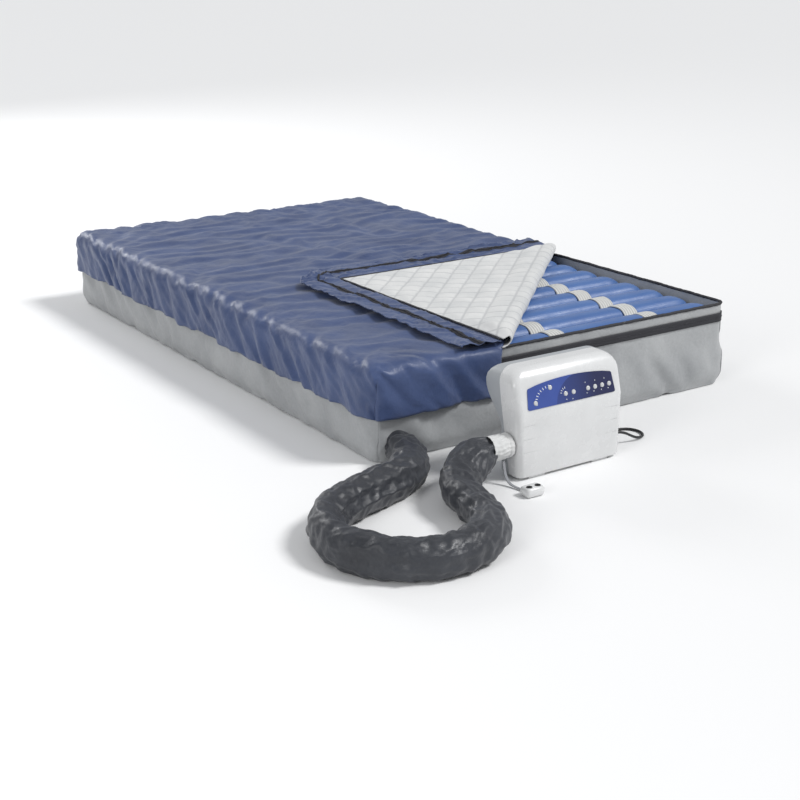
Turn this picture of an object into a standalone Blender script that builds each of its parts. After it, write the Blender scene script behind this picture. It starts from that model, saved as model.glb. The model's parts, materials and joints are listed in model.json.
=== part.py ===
"""Pressure relief mattress: air mattress, folded cover, and its alternating pump.

The frame has +Z up, +Y towards the head, and X across the bed.  The origin is
the centre of the mattress's underside.  Everything stands on the plane Z = 0.
"""

import math

import bmesh
import bpy
from mathutils import Matrix, Vector

# Driving dimensions, in metres.
MATTRESS_WIDTH = 1.2192
MATTRESS_LENGTH = 2.032
MATTRESS_HEIGHT = 0.254
CORNER_RADIUS = 0.035
CLOTH = 0.006
TOUCH_GAP = 0.0003

HALF_WIDTH = MATTRESS_WIDTH / 2
HALF_LENGTH = MATTRESS_LENGTH / 2

# Base cover: an open tray under the skirt of the top cover.
BASE_INSET = 0.012
BASE_WALL = 0.004
BASE_HEIGHT = 0.236
BASE_HALF_WIDTH = HALF_WIDTH - BASE_INSET
BASE_HALF_LENGTH = HALF_LENGTH - BASE_INSET

# Air cells, their straps and their air lines.
CELL_COUNT = 20
CELL_GAP = 0.0035
CELL_BOTTOM = 0.0045
CELL_TOP = 0.240
CELL_LEFT = -0.566
CELL_RIGHT = 0.590
CELL_ROUND = 0.040
CELL_PITCH = 2 * (BASE_HALF_LENGTH - BASE_WALL - 0.002) / CELL_COUNT
STRAP_PLACES = (-0.335, 0.0, 0.335)
STRAP_WIDTH = 0.050
STRAP_THICKNESS = 0.0012
STRAP_DIP = 0.015
MANIFOLD_X = -0.582
MANIFOLD_HEIGHTS = (0.060, 0.090)
MANIFOLD_RADIUS = 0.006

# Top cover and its turned-back foot corner.
SKIRT_DROP = 0.129
CORNER_LEG = 0.830
FLAP_BOTTOM = 0.262
SKIRT_HINGE_STEP = 0.0075
SKIRT_REACH = 0.130
FLAP_EDGE_STEP = 0.001
FLAP_MARGIN = 0.008

# Pump, standing on its feet in front of the mattress's foot end.
PUMP_X = -0.2145
PUMP_FRONT = -1.295
PUMP_WIDTH = 0.331
PUMP_HEIGHT = 0.268
PUMP_LOW_DEPTH = 0.078
PUMP_TOP_DEPTH = 0.140
PUMP_BOTTOM_WIDTH = 0.322
FOOT_HEIGHT = 0.006
CASE_WALL = 0.003
FACE_BREAK = 0.165
FACE_TILT = math.radians(15)
TOP_ROUND = 0.040
BOTTOM_ROUND = 0.006
PARTING_LOW = 0.040
PARTING_HIGH = 0.085
PARTING_GAP = 0.0004

# Control panel, measured up its sloping face from its lower left corner.
PANEL_WIDTH = 0.274
PANEL_SIDE = 0.053
PANEL_ARCH = 0.012
PANEL_TAPER = 0.006
PANEL_RISE = 0.007
PANEL_THICKNESS = 0.0015
BUTTON_RADIUS = 0.006
BUTTON_CLEARANCE = 0.0005
BUTTON_PROUD = 0.0022
BUTTON_DEPTH = 0.0075
BUTTON_PLACES = {
    "button_pressure_down": (0.025, 0.015),
    "button_pressure_up": (0.074, 0.045),
    "button_cycle_time": (0.119, 0.022),
    "button_mode": (0.144, 0.022),
    "button_alarm_mute": (0.190, 0.023),
    "button_static": (0.2125, 0.023),
    "button_lock": (0.235, 0.023),
    "button_power": (0.2575, 0.023),
}

# Bed hooks and power switch on the pump's rear case.
HOOK_PLACES = {"bed_hook_left": -0.100, "bed_hook_right": 0.100}
HOOK_WIDTH = 0.030
HOOK_DEPTH = 0.106
HOOK_HEIGHT = 0.150
HOOK_ARM = 0.048
HOOK_LIP = 0.020
HOOK_BARREL = 0.005
PIN_RADIUS = 0.0020
PIN_HOLE_RADIUS = 0.0024
LUG_THICKNESS = 0.005
SWITCH_DEPTH = 0.102
SWITCH_HEIGHT = 0.185

# Air hose: a sleeved pair of tubes from the foot corner to the pump's left side.
HOSE_DIAMETER = 0.085
HOSE_REST = HOSE_DIAMETER / 2 + 0.001
HOSE_ROUTE = (
    (-0.540, -1.0050, HOSE_REST), (-0.556, -1.084, HOSE_REST), (-0.601, -1.153, HOSE_REST),
    (-0.671, -1.197, HOSE_REST), (-0.753, -1.227, HOSE_REST), (-0.836, -1.257, HOSE_REST),
    (-0.907, -1.299, HOSE_REST), (-0.954, -1.361, HOSE_REST), (-0.971, -1.437, HOSE_REST),
    (-0.954, -1.513, HOSE_REST), (-0.907, -1.575, HOSE_REST), (-0.838, -1.611, HOSE_REST),
    (-0.760, -1.614, HOSE_REST), (-0.688, -1.584, HOSE_REST), (-0.635, -1.527, HOSE_REST),
    (-0.611, -1.447, HOSE_REST), (-0.594, -1.3640, 0.0480), (-0.5485, -1.3000, 0.0610),
    (-0.485, -1.2645, 0.0790), (-0.436, -1.2565, 0.0870),
)
HOSE_WAYS = (Vector((0, -1, 0)), Vector((1, 0, 0)))
CONNECTOR_RADIUS = 0.027
CONNECTOR_SETBACK = 0.006
CONNECTOR_Y = -1.2565
CONNECTOR_Z = 0.088
TETHER_DIAMETER = 0.008
TETHER_ROUTE = (
    (-0.4080, -1.2740, 0.0560), (-0.4085, -1.2770, 0.0450), (-0.4095, -1.2820, 0.0310),
    (-0.4100, -1.2910, 0.0170), (-0.4090, -1.3050, 0.0075), (-0.4060, -1.3230, 0.0046),
    (-0.4030, -1.3400, 0.0046), (-0.4010, -1.3560, 0.0060),
)
TETHER_WAYS = (Vector((0, 0, -1)), Vector((0, -1, 0)))
CAP_CENTRE = (-0.398, -1.3750, 0.0125)
CAP_SIZE = (0.052, 0.036, 0.024)
CAP_SOCKET_RADIUS = 0.0075
CAP_SOCKET_DEPTH = 0.012

# Mains cord: a short visible run, then a coil of its spare length behind the pump.
CORD_DIAMETER = 0.007
CORD_REST = CORD_DIAMETER / 2 + 0.0003
COIL_CENTRE = (-0.160, -1.096)
COIL_MEAN_RADIUS = 0.040
COIL_COLUMNS = 5
COIL_LAYERS = 3
COIL_OUTER = COIL_MEAN_RADIUS + COIL_COLUMNS * CORD_DIAMETER / 2
COIL_INNER = COIL_MEAN_RADIUS - COIL_COLUMNS * CORD_DIAMETER / 2
COIL_HEIGHT = COIL_LAYERS * CORD_DIAMETER + 0.0005
RELIEF_START = (-0.0515, -1.230, 0.036)
RELIEF_LENGTH = 0.030
RELIEF_RADIUS = 0.0085
COIL_LINE_Y = COIL_CENTRE[1] - COIL_OUTER + CORD_DIAMETER / 2
COIL_REACH = math.sqrt((COIL_OUTER + TOUCH_GAP) ** 2 - (COIL_OUTER - CORD_DIAMETER) ** 2)
CORD_ROUTE = (
    (-0.0212, -1.2300, 0.0360), (-0.0010, -1.2310, 0.0350), (0.0190, -1.2325, 0.0290),
    (0.0380, -1.2335, 0.0190), (0.0570, -1.2330, 0.0100), (0.0780, -1.2280, 0.0050),
    (0.0970, -1.2155, CORD_REST), (0.1060, -1.1950, CORD_REST), (0.1035, -1.1730, CORD_REST),
    (0.0895, -1.1560, CORD_REST), (0.0670, -1.1475, CORD_REST), (0.0400, -1.1445, CORD_REST),
    (0.0110, -1.1445, CORD_REST), (-0.0150, -1.1460, CORD_REST), (-0.0430, -1.1480, CORD_REST),
    (-0.0720, -1.1495, CORD_REST), (-0.1010, COIL_LINE_Y, CORD_REST),
    (COIL_CENTRE[0] + COIL_REACH, COIL_LINE_Y, CORD_REST),
)
CORD_WAYS = (Vector((1, 0, 0)), Vector((-1, 0, 0)))
PLUG_CENTRE = (-0.160, -1.134, 0.0335)

SLOPE_UP = Vector((0, math.sin(FACE_TILT), math.cos(FACE_TILT)))
SLOPE_OUT = Vector((0, -math.cos(FACE_TILT), math.sin(FACE_TILT)))


def clear_scene():
    for obj in list(bpy.data.objects):
        bpy.data.objects.remove(obj, do_unlink=True)


def make_collection(name):
    collection = bpy.data.collections.new(name)
    bpy.context.scene.collection.children.link(collection)
    return collection


def make_material(name, colour, roughness, metallic=0.0):
    material = bpy.data.materials.new(name)
    material.use_nodes = True
    shader = material.node_tree.nodes["Principled BSDF"]
    shader.inputs["Base Color"].default_value = (*colour, 1.0)
    shader.inputs["Roughness"].default_value = roughness
    shader.inputs["Metallic"].default_value = metallic
    return material


def mesh_object(name, bm, collection, material=None):
    """Turn a bmesh into an object in the given collection."""
    bmesh.ops.recalc_face_normals(bm, faces=bm.faces)
    mesh = bpy.data.meshes.new(name)
    bm.to_mesh(mesh)
    bm.free()
    obj = bpy.data.objects.new(name, mesh)
    collection.objects.link(obj)
    if material:
        mesh.materials.append(material)
    return obj


def make_cutter(name, bm):
    obj = mesh_object(name, bm, CUTTERS)
    obj.hide_render = True
    obj.display_type = "WIRE"
    return obj


def add_box(bm, low, high, matrix=None):
    """Add a box between two corners, then turn it by the matrix."""
    size = [high[i] - low[i] for i in range(3)]
    centre = [(high[i] + low[i]) / 2 for i in range(3)]
    place = Matrix.Translation(centre) @ Matrix.Diagonal((*size, 1))
    if matrix:
        place = matrix @ place
    bmesh.ops.create_cube(bm, size=1, matrix=place)


def add_cylinder(bm, start, end, radius, segments=16, end_radius=None):
    """Add a cylinder or cone between two points."""
    start, end = Vector(start), Vector(end)
    along = end - start
    turn = Vector((0, 0, 1)).rotation_difference(along).to_matrix().to_4x4()
    place = Matrix.Translation((start + end) / 2) @ turn
    bmesh.ops.create_cone(bm, cap_ends=True, segments=segments, radius1=radius,
                          radius2=end_radius or radius, depth=along.length, matrix=place)


def add_boolean(obj, cutter, operation):
    modifier = obj.modifiers.new(f"{operation.lower()} {cutter.name}", "BOOLEAN")
    modifier.operation = operation
    modifier.object = cutter


def add_bevel(obj, width, segments, angle=30):
    modifier = obj.modifiers.new("rounded edges", "BEVEL")
    modifier.width = width
    modifier.segments = segments
    modifier.limit_method = "ANGLE"
    modifier.angle_limit = math.radians(angle)


def add_solidify(obj, thickness, offset):
    modifier = obj.modifiers.new("thickness", "SOLIDIFY")
    modifier.thickness = thickness
    modifier.offset = offset
    modifier.use_even_offset = True


def rounded_box(name, low, high, round_width, segments, material):
    bm = bmesh.new()
    add_box(bm, low, high)
    obj = mesh_object(name, bm, PARTS, material)
    if round_width:
        add_bevel(obj, round_width, segments)
    return obj


def turned_object(name, profile, steps, place, material):
    """Screw a profile of (radius, height) points, from the top down, about local Z."""
    bm = bmesh.new()
    points = [bm.verts.new((radius, 0, height)) for radius, height in profile]
    for above, below in zip(points, points[1:]):
        bm.edges.new((above, below))
    mesh = bpy.data.meshes.new(name)
    bm.to_mesh(mesh)
    bm.free()
    obj = bpy.data.objects.new(name, mesh)
    PARTS.objects.link(obj)
    mesh.materials.append(material)
    screw = obj.modifiers.new("turned", "SCREW")
    screw.steps = steps
    screw.render_steps = steps
    screw.use_merge_vertices = True
    screw.merge_threshold = 0.00001
    obj.matrix_world = place
    return obj


def smooth_route(points, spacing, ways):
    """Read points at an even spacing from a Catmull-Rom curve through the route.

    The curve leaves its first point along the first way, and ends along the second.
    """
    route = [Vector(point) for point in points]
    before = route[1] - 2 * (route[1] - route[0]).length * ways[0]
    after = route[-2] + 2 * (route[-1] - route[-2]).length * ways[1]
    route = [before, *route, after]
    dense = []
    for before, start, end, after in zip(route, route[1:], route[2:], route[3:]):
        for step in range(24):
            t = step / 24
            dense.append(0.5 * (2 * start + (end - before) * t
                                + (2 * before - 5 * start + 4 * end - after) * t ** 2
                                + (3 * start - before - 3 * end + after) * t ** 3))
    dense.append(route[-2])
    lengths = [0.0]
    for start, end in zip(dense, dense[1:]):
        lengths.append(lengths[-1] + (end - start).length)
    count = max(2, round(lengths[-1] / spacing))
    even = []
    index = 0
    for step in range(count + 1):
        wanted = lengths[-1] * step / count
        while index < len(dense) - 2 and lengths[index + 1] < wanted:
            index += 1
        part = (wanted - lengths[index]) / (lengths[index + 1] - lengths[index])
        even.append(dense[index].lerp(dense[index + 1], part))
    square_start = even[0] + ways[0] * spacing * 0.1
    square_end = even[-1] - ways[1] * spacing * 0.1
    return [even[0], square_start, *even[1:-1], square_end, even[-1]]


def tube_object(name, points, radius, resolution, material):
    curve = bpy.data.curves.new(name, "CURVE")
    curve.dimensions = "3D"
    curve.bevel_depth = radius
    curve.bevel_resolution = resolution
    curve.use_fill_caps = True
    spline = curve.splines.new("POLY")
    spline.points.add(len(points) - 1)
    for target, point in zip(spline.points, points):
        target.co = (*point, 1)
    curve.materials.append(material)
    obj = bpy.data.objects.new(name, curve)
    PARTS.objects.link(obj)
    return obj


def arc_points(centre, radius, start, end, steps):
    """Points on an arc in the plane, angles in degrees."""
    angles = [math.radians(start + (end - start) * i / steps) for i in range(steps + 1)]
    return [(centre[0] + radius * math.cos(a), centre[1] + radius * math.sin(a)) for a in angles]


def rounded_rectangle(half_x, low_y, high_y, low_radius, high_radius, steps):
    """Outline of a rectangle about X = 0, anticlockwise from its +X side."""
    outline = arc_points((half_x - high_radius, high_y - high_radius), high_radius, 0, 90, steps)
    outline += arc_points((high_radius - half_x, high_y - high_radius), high_radius, 90, 180, steps)
    outline += arc_points((low_radius - half_x, low_y + low_radius), low_radius, 180, 270, steps)
    outline += arc_points((half_x - low_radius, low_y + low_radius), low_radius, 270, 360, steps)
    return outline


def add_loft(bm, rings):
    """Bridge rings of equal point counts and cap both ends."""
    rows = [[bm.verts.new(point) for point in ring] for ring in rings]
    for lower, upper in zip(rows, rows[1:]):
        for i in range(len(lower)):
            j = (i + 1) % len(lower)
            bm.faces.new((lower[i], lower[j], upper[j], upper[i]))
    bm.faces.new(rows[0])
    bm.faces.new(rows[-1])


def add_prism(bm, outline, bottom, top):
    add_loft(bm, [[(x, y, z) for x, y in outline] for z in (bottom, top)])


# Mattress

def make_base_cover():
    """Tray with a floor and four walls, and a hole for the air lines at the foot."""
    outline = rounded_rectangle(BASE_HALF_WIDTH, -BASE_HALF_LENGTH, BASE_HALF_LENGTH,
                                CORNER_RADIUS, CORNER_RADIUS, 4)
    bm = bmesh.new()
    floor = bm.faces.new([bm.verts.new((x, y, 0)) for x, y in outline])
    walls = bmesh.ops.extrude_edge_only(bm, edges=floor.edges[:])
    raised = [v for v in walls["geom"] if isinstance(v, bmesh.types.BMVert)]
    bmesh.ops.translate(bm, verts=raised, vec=(0, 0, BASE_HEIGHT))
    bmesh.ops.recalc_face_normals(bm, faces=bm.faces)
    tray = mesh_object("base_cover", bm, PARTS, SILVER_CLOTH)
    if tray.data.polygons[0].normal.z > 0:
        tray.data.flip_normals()
    add_solidify(tray, BASE_WALL, -1)
    hole = bmesh.new()
    start = (HOSE_ROUTE[0][0], -BASE_HALF_LENGTH - 0.010, HOSE_REST)
    end = (HOSE_ROUTE[0][0], -BASE_HALF_LENGTH + BASE_WALL + 0.0012, HOSE_REST)
    add_cylinder(hole, start, end, 0.028)
    add_boolean(tray, make_cutter("hose_outlet_hole", hole), "DIFFERENCE")


def cell_centre(index):
    """Y of a cell's centre line, counted from the foot end."""
    return (index - (CELL_COUNT - 1) / 2) * CELL_PITCH


def make_air_cells():
    half = (CELL_PITCH - CELL_GAP) / 2
    for index in range(CELL_COUNT):
        y = cell_centre(index)
        rounded_box(f"air_cell_{index + 1:02d}", (CELL_LEFT, y - half, CELL_BOTTOM),
                    (CELL_RIGHT, y + half, CELL_TOP), CELL_ROUND, 3, CELL_BLUE)


def strap_height(offset):
    """Height of a strap's underside at a distance from a cell's centre line."""
    half = (CELL_PITCH - CELL_GAP) / 2
    from_flat = max(0.0, abs(offset) - (half - CELL_ROUND))
    drop = CELL_ROUND - math.sqrt(max(0.0, CELL_ROUND ** 2 - from_flat ** 2))
    return CELL_TOP + 0.0012 - min(drop, STRAP_DIP)


def make_cell_straps():
    """Ribbons that ride over the cells and dip into the grooves between them."""
    offsets = [fraction * CELL_PITCH for fraction in (-0.34, -0.19, 0.0, 0.19, 0.34)]
    for number, x in enumerate(STRAP_PLACES, start=1):
        bm = bmesh.new()
        rows = []
        for index in range(CELL_COUNT):
            for offset in offsets:
                y, z = cell_centre(index) + offset, strap_height(offset)
                rows.append([bm.verts.new((x + side * STRAP_WIDTH / 2, y, z)) for side in (-1, 1)])
        for near, far in zip(rows, rows[1:]):
            bm.faces.new((near[0], near[1], far[1], far[0]))
        strap = mesh_object(f"cell_strap_{number}", bm, PARTS, STRAP_WHITE)
        if strap.data.polygons[0].normal.z < 0:
            strap.data.flip_normals()
        add_solidify(strap, STRAP_THICKNESS, 1)


def make_air_manifolds():
    """Two air lines at the left ends of the cells, each feeding every second cell."""
    reach = abs(cell_centre(0)) + 0.010
    for number, z in enumerate(MANIFOLD_HEIGHTS):
        bm = bmesh.new()
        add_cylinder(bm, (MANIFOLD_X, -reach, z), (MANIFOLD_X, reach, z), MANIFOLD_RADIUS, 10)
        line = mesh_object(f"air_manifold_{'ab'[number]}", bm, PARTS, TUBE_CLEAR)
        stubs = bmesh.new()
        for index in range(number, CELL_COUNT, 2):
            y = cell_centre(index)
            add_cylinder(stubs, (MANIFOLD_X, y, z), (CELL_LEFT - TOUCH_GAP, y, z), 0.0035, 8)
        add_boolean(line, make_cutter(f"manifold_outlets_{'ab'[number]}", stubs), "UNION")


def top_outline():
    """Outline of the cover's top without the turned-back corner, and its open edge."""
    crease_start = (HALF_WIDTH - CORNER_LEG, -HALF_LENGTH)
    crease_end = (HALF_WIDTH, CORNER_LEG - HALF_LENGTH)
    reach_x, reach_y = HALF_WIDTH - CORNER_RADIUS, HALF_LENGTH - CORNER_RADIUS
    outline = [crease_start, crease_end]
    outline += arc_points((reach_x, reach_y), CORNER_RADIUS, 0, 90, 4)
    outline += arc_points((-reach_x, reach_y), CORNER_RADIUS, 90, 180, 4)
    outline += arc_points((-reach_x, -reach_y), CORNER_RADIUS, 180, 270, 4)
    return outline


def make_top_cover():
    """Top panel with its side skirt, open along the crease of the folded corner."""
    outline = top_outline()
    bm = bmesh.new()
    corners = [bm.verts.new((x, y, MATTRESS_HEIGHT)) for x, y in outline]
    bm.faces.new(corners)
    hem = [bm.verts.new((x, y, MATTRESS_HEIGHT - SKIRT_DROP)) for x, y in outline]
    for i in range(1, len(corners)):
        j = (i + 1) % len(corners)
        bm.faces.new((corners[i], hem[i], hem[j], corners[j]))
    cover = mesh_object("top_cover", bm, PARTS, NAVY_CLOTH)
    if cover.data.polygons[0].normal.z < 0:
        cover.data.flip_normals()
    add_solidify(cover, CLOTH, -1)


def make_corner_flap():
    """The foot corner of the cover's top, turned back over the cover along the crease."""
    edge_x = HALF_WIDTH - CORNER_LEG + FLAP_EDGE_STEP
    edge_y = CORNER_LEG - HALF_LENGTH - FLAP_EDGE_STEP
    inset = FLAP_MARGIN
    triangle = [(edge_x, -HALF_LENGTH + 2 * inset), (HALF_WIDTH - 2 * inset, edge_y), (edge_x, edge_y)]
    bm = bmesh.new()
    add_prism(bm, triangle, FLAP_BOTTOM, FLAP_BOTTOM + CLOTH)
    mesh_object("corner_flap", bm, PARTS, LINING_WHITE)


def make_flap_skirts():
    """The two skirt strips of the turned corner, lying flat beyond its edges."""
    top = FLAP_BOTTOM + CLOTH
    edge_x = HALF_WIDTH - CORNER_LEG
    edge_y = CORNER_LEG - HALF_LENGTH
    rounded_box("flap_foot_skirt", (edge_x - SKIRT_REACH, -HALF_LENGTH + 0.003, FLAP_BOTTOM),
                (edge_x - SKIRT_HINGE_STEP, edge_y - FLAP_MARGIN, top), 0, 0, NAVY_CLOTH)
    rounded_box("flap_side_skirt", (edge_x + FLAP_MARGIN, edge_y + SKIRT_HINGE_STEP, FLAP_BOTTOM),
                (HALF_WIDTH - 0.003, edge_y + SKIRT_REACH, top), 0, 0, NAVY_CLOTH)


def make_zip_slider():
    """Slider on the base cover's zip, with its pull tab hanging from it."""
    x, y, z = BASE_HALF_WIDTH + 0.001, CORNER_LEG - HALF_LENGTH - 0.020, 0.205
    bm = bmesh.new()
    add_box(bm, (x, y - 0.007, z - 0.005), (x + 0.0038, y + 0.007, z + 0.005))
    slider = mesh_object("zip_slider", bm, PARTS, DARK_METAL)
    tab = bmesh.new()
    add_box(tab, (x + 0.0012, y - 0.003, z - 0.032), (x + 0.0026, y + 0.003, z))
    add_boolean(slider, make_cutter("zip_pull_tab", tab), "UNION")


# Pump

def case_section(height, offset):
    """Half width, front and back of the pump at a height, grown by an offset."""
    grow = min(1.0, height / 0.18)
    half = (PUMP_BOTTOM_WIDTH + (PUMP_WIDTH - PUMP_BOTTOM_WIDTH) * grow) / 2
    front = max(0.0, height - FACE_BREAK) * math.tan(FACE_TILT)
    rise = min(1.0, max(0.0, (height - 0.115) / 0.105))
    back = PUMP_LOW_DEPTH + (PUMP_TOP_DEPTH - PUMP_LOW_DEPTH) * rise * rise * (3 - 2 * rise)
    over = max(0.0, (height - (PUMP_HEIGHT - TOP_ROUND)) / TOP_ROUND)
    shrink = 1 - math.sqrt(max(0.0, 1 - over ** 2))
    under = max(0.0, 1 - height / BOTTOM_ROUND)
    lift = 1 - math.sqrt(max(0.0, 1 - under ** 2))
    half += offset - 0.042 * shrink - BOTTOM_ROUND * lift
    front += -offset + 0.024 * shrink + BOTTOM_ROUND * lift
    back += offset - 0.046 * shrink - BOTTOM_ROUND * lift
    return half, front, back


def add_case_loft(bm, offset):
    """Pump body as a loft of level sections, each a rounded rectangle."""
    low = [BOTTOM_ROUND * (1 - math.cos(math.radians(a))) for a in (0, 45, 90)]
    middle = [0.060, 0.115, 0.130, 0.145, FACE_BREAK, 0.180, 0.195, 0.210]
    shoulder = PUMP_HEIGHT - TOP_ROUND
    high = [shoulder + TOP_ROUND * math.sin(math.radians(a)) for a in (0, 18, 36, 54, 70, 82, 90)]
    rings = []
    for level in low + middle + high:
        half, front, back = case_section(level, offset)
        ends = offset * (2 * level / PUMP_HEIGHT - 1)
        outline = rounded_rectangle(half, front, back, 0.018 + offset, 0.012 + offset, 5)
        rings.append([(PUMP_X + x, PUMP_FRONT + y, FOOT_HEIGHT + level + ends) for x, y in outline])
    add_loft(bm, rings)


def add_parting_side(bm, side):
    """A block on one side of the sloping parting plane: -1 for the front, +1 for the rear."""
    slope = math.atan2(PARTING_HIGH - PARTING_LOW, PUMP_HEIGHT)
    place = Matrix.Translation((PUMP_X, PUMP_FRONT + PARTING_LOW, FOOT_HEIGHT))
    place = place @ Matrix.Rotation(-slope, 4, "X")
    near, far = PARTING_GAP / 2 * side, 0.3 * side
    add_box(bm, (-0.3, min(near, far), -0.1), (0.3, max(near, far), 0.4), place)


def panel_point(across, up, out=0.0):
    """World point on the sloping front face, from the panel's lower left corner."""
    start = FACE_BREAK + PANEL_RISE
    base = Vector((PUMP_X - PANEL_WIDTH / 2 + across,
                   PUMP_FRONT + (start - FACE_BREAK) * math.tan(FACE_TILT), FOOT_HEIGHT + start))
    return base + SLOPE_UP * up + SLOPE_OUT * out


def button_holes(name):
    bm = bmesh.new()
    for across, up in BUTTON_PLACES.values():
        add_cylinder(bm, panel_point(across, up, 0.010), panel_point(across, up, -0.010),
                     BUTTON_RADIUS + BUTTON_CLEARANCE)
    return make_cutter(name, bm)


def face_grooves():
    """Three shallow grooves at each side of the front face, fading towards its middle."""
    bm = bmesh.new()
    for side in (-1, 1):
        length = 0.080 if side < 0 else 0.060
        for level in (0.066, 0.100, 0.134):
            place = Matrix.Translation((PUMP_X + side * 0.1545, PUMP_FRONT, FOOT_HEIGHT + level))
            place = place @ Matrix.Rotation(math.radians(0.9) * side, 4, "Z")
            low = (-0.020 if side > 0 else 0) - (length - 0.020 if side > 0 else 0.010)
            add_box(bm, (low, -0.004, -0.0009), (low + length + 0.010, 0.0010, 0.0009), place)
    return make_cutter("face_grooves", bm)


def rounded_corners(points, radius, steps):
    """Replace each corner of an outline with an arc-like curve of the given reach."""
    outline = []
    for i, point in enumerate(points):
        here = Vector(point)
        before = (Vector(points[i - 1]) - here).normalized() * radius
        after = (Vector(points[(i + 1) % len(points)]) - here).normalized() * radius
        for step in range(steps + 1):
            t = step / steps
            outline.append(here + before * (1 - t) ** 2 + after * t ** 2)
    return outline


def panel_outline():
    """Straight sides and bottom, with an arched top."""
    right = PANEL_WIDTH - PANEL_TAPER
    span = right - PANEL_TAPER
    top = []
    for i in range(11):
        t = i / 10
        top.append((right - span * t, PANEL_SIDE + PANEL_ARCH * 4 * t * (1 - t)))
    bottom = rounded_corners([(0, 0), (PANEL_WIDTH, 0), top[0], top[-1]], 0.006, 4)
    return bottom[:15] + [Vector(point) for point in top[1:-1]] + bottom[15:]


def make_pump_cases():
    inner = bmesh.new()
    add_case_loft(inner, -CASE_WALL)
    hollow = make_cutter("case_hollow", inner)
    holes = button_holes("case_button_holes")
    for name, side, material in (("pump_front_case", -1, CASE_WHITE), ("pump_rear_case", 1, CASE_GREY)):
        outer = bmesh.new()
        add_case_loft(outer, 0)
        case = mesh_object(name, outer, PARTS, material)
        half = bmesh.new()
        add_parting_side(half, side)
        add_boolean(case, make_cutter(f"{name}_half", half), "INTERSECT")
        if side > 0:
            add_boolean(case, hook_lugs(), "UNION")
            add_boolean(case, switch_hole(), "DIFFERENCE")
            add_boolean(case, hook_pin_holes(), "DIFFERENCE")
        add_boolean(case, hollow, "DIFFERENCE")
        if side < 0:
            add_boolean(case, holes, "DIFFERENCE")
            add_boolean(case, face_grooves(), "DIFFERENCE")


def make_control_panel():
    """Thin overlay that follows the case's front face, with a hole for each button."""
    outer = bmesh.new()
    add_case_loft(outer, PANEL_THICKNESS + TOUCH_GAP)
    panel = mesh_object("control_panel", outer, PARTS, PANEL_BLUE)
    prism = bmesh.new()
    rings = [[panel_point(x, y, out) for x, y in panel_outline()] for out in (-0.010, 0.010)]
    add_loft(prism, rings)
    add_boolean(panel, make_cutter("panel_outline", prism), "INTERSECT")
    under = bmesh.new()
    add_case_loft(under, TOUCH_GAP)
    add_boolean(panel, make_cutter("panel_underside", under), "DIFFERENCE")
    add_boolean(panel, button_holes("panel_button_holes"), "DIFFERENCE")


def make_buttons():
    """Domed push buttons, each turned about the face's normal."""
    rim = BUTTON_RADIUS
    face = PANEL_THICKNESS + TOUCH_GAP
    profile = [(0.0, face + BUTTON_PROUD), (rim * 0.45, face + BUTTON_PROUD * 0.93),
               (rim * 0.80, face + BUTTON_PROUD * 0.68), (rim, face + BUTTON_PROUD * 0.20),
               (rim, -BUTTON_DEPTH), (0.0, -BUTTON_DEPTH)]
    for name, (across, up) in BUTTON_PLACES.items():
        turn = Vector((0, 0, 1)).rotation_difference(SLOPE_OUT).to_matrix().to_4x4()
        place = Matrix.Translation(panel_point(across, up)) @ turn
        turned_object(name, profile, 14, place, BUTTON_SILVER)


def hook_axis(x_offset, side):
    """End of a hook's hinge line, just past its barrel on one side."""
    return Vector((PUMP_X + x_offset + side * (HOOK_WIDTH / 2), PUMP_FRONT + HOOK_DEPTH,
                   FOOT_HEIGHT + HOOK_HEIGHT))


def hook_lugs():
    """Two lugs beside each hook, rooted in the rear case."""
    bm = bmesh.new()
    for x_offset in HOOK_PLACES.values():
        for side in (-1, 1):
            root = hook_axis(x_offset, side)
            near = root.x + side * 0.0006
            far = near + side * LUG_THICKNESS
            add_box(bm, (min(near, far), root.y - 0.030, root.z - 0.006),
                    (max(near, far), root.y + 0.006, root.z + 0.006))
    return make_cutter("hook_lugs", bm)


def hook_pin_holes():
    bm = bmesh.new()
    for x_offset in HOOK_PLACES.values():
        start, end = hook_axis(x_offset, -1), hook_axis(x_offset, 1)
        start.x -= 0.0045
        end.x += 0.0045
        add_cylinder(bm, start, end, PIN_HOLE_RADIUS, 12)
    return make_cutter("hook_pin_holes", bm)


def make_bed_hooks():
    """Hooks that swing out from the pump's back to hang it on a footboard."""
    for name, x_offset in HOOK_PLACES.items():
        start, end = hook_axis(x_offset, -1), hook_axis(x_offset, 1)
        y, z = start.y, start.z
        bm = bmesh.new()
        add_cylinder(bm, start, end, HOOK_BARREL, 16)
        hook = mesh_object(name, bm, PARTS, CASE_GREY)
        arm = bmesh.new()
        add_box(arm, (start.x, y - 0.002, z - HOOK_ARM), (end.x, y + 0.002, z))
        add_boolean(hook, make_cutter(f"{name}_arm", arm), "UNION")
        lip = bmesh.new()
        add_box(lip, (start.x, y - HOOK_LIP, z - HOOK_ARM), (end.x, y + 0.002, z - HOOK_ARM + 0.004))
        add_boolean(hook, make_cutter(f"{name}_lip", lip), "UNION")
        pin = bmesh.new()
        start.x -= 0.004
        end.x += 0.004
        add_cylinder(pin, start, end, PIN_RADIUS, 12)
        add_boolean(hook, make_cutter(f"{name}_pin", pin), "UNION")


def switch_centre():
    half, _, _ = case_section(SWITCH_HEIGHT, 0)
    return Vector((PUMP_X + half, PUMP_FRONT + SWITCH_DEPTH, FOOT_HEIGHT + SWITCH_HEIGHT))


def switch_hole():
    centre = switch_centre()
    bm = bmesh.new()
    add_box(bm, (centre.x - 0.008, centre.y - 0.0075, centre.z - 0.0115),
            (centre.x + 0.008, centre.y + 0.0075, centre.z + 0.0115))
    return make_cutter("switch_hole", bm)


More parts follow.
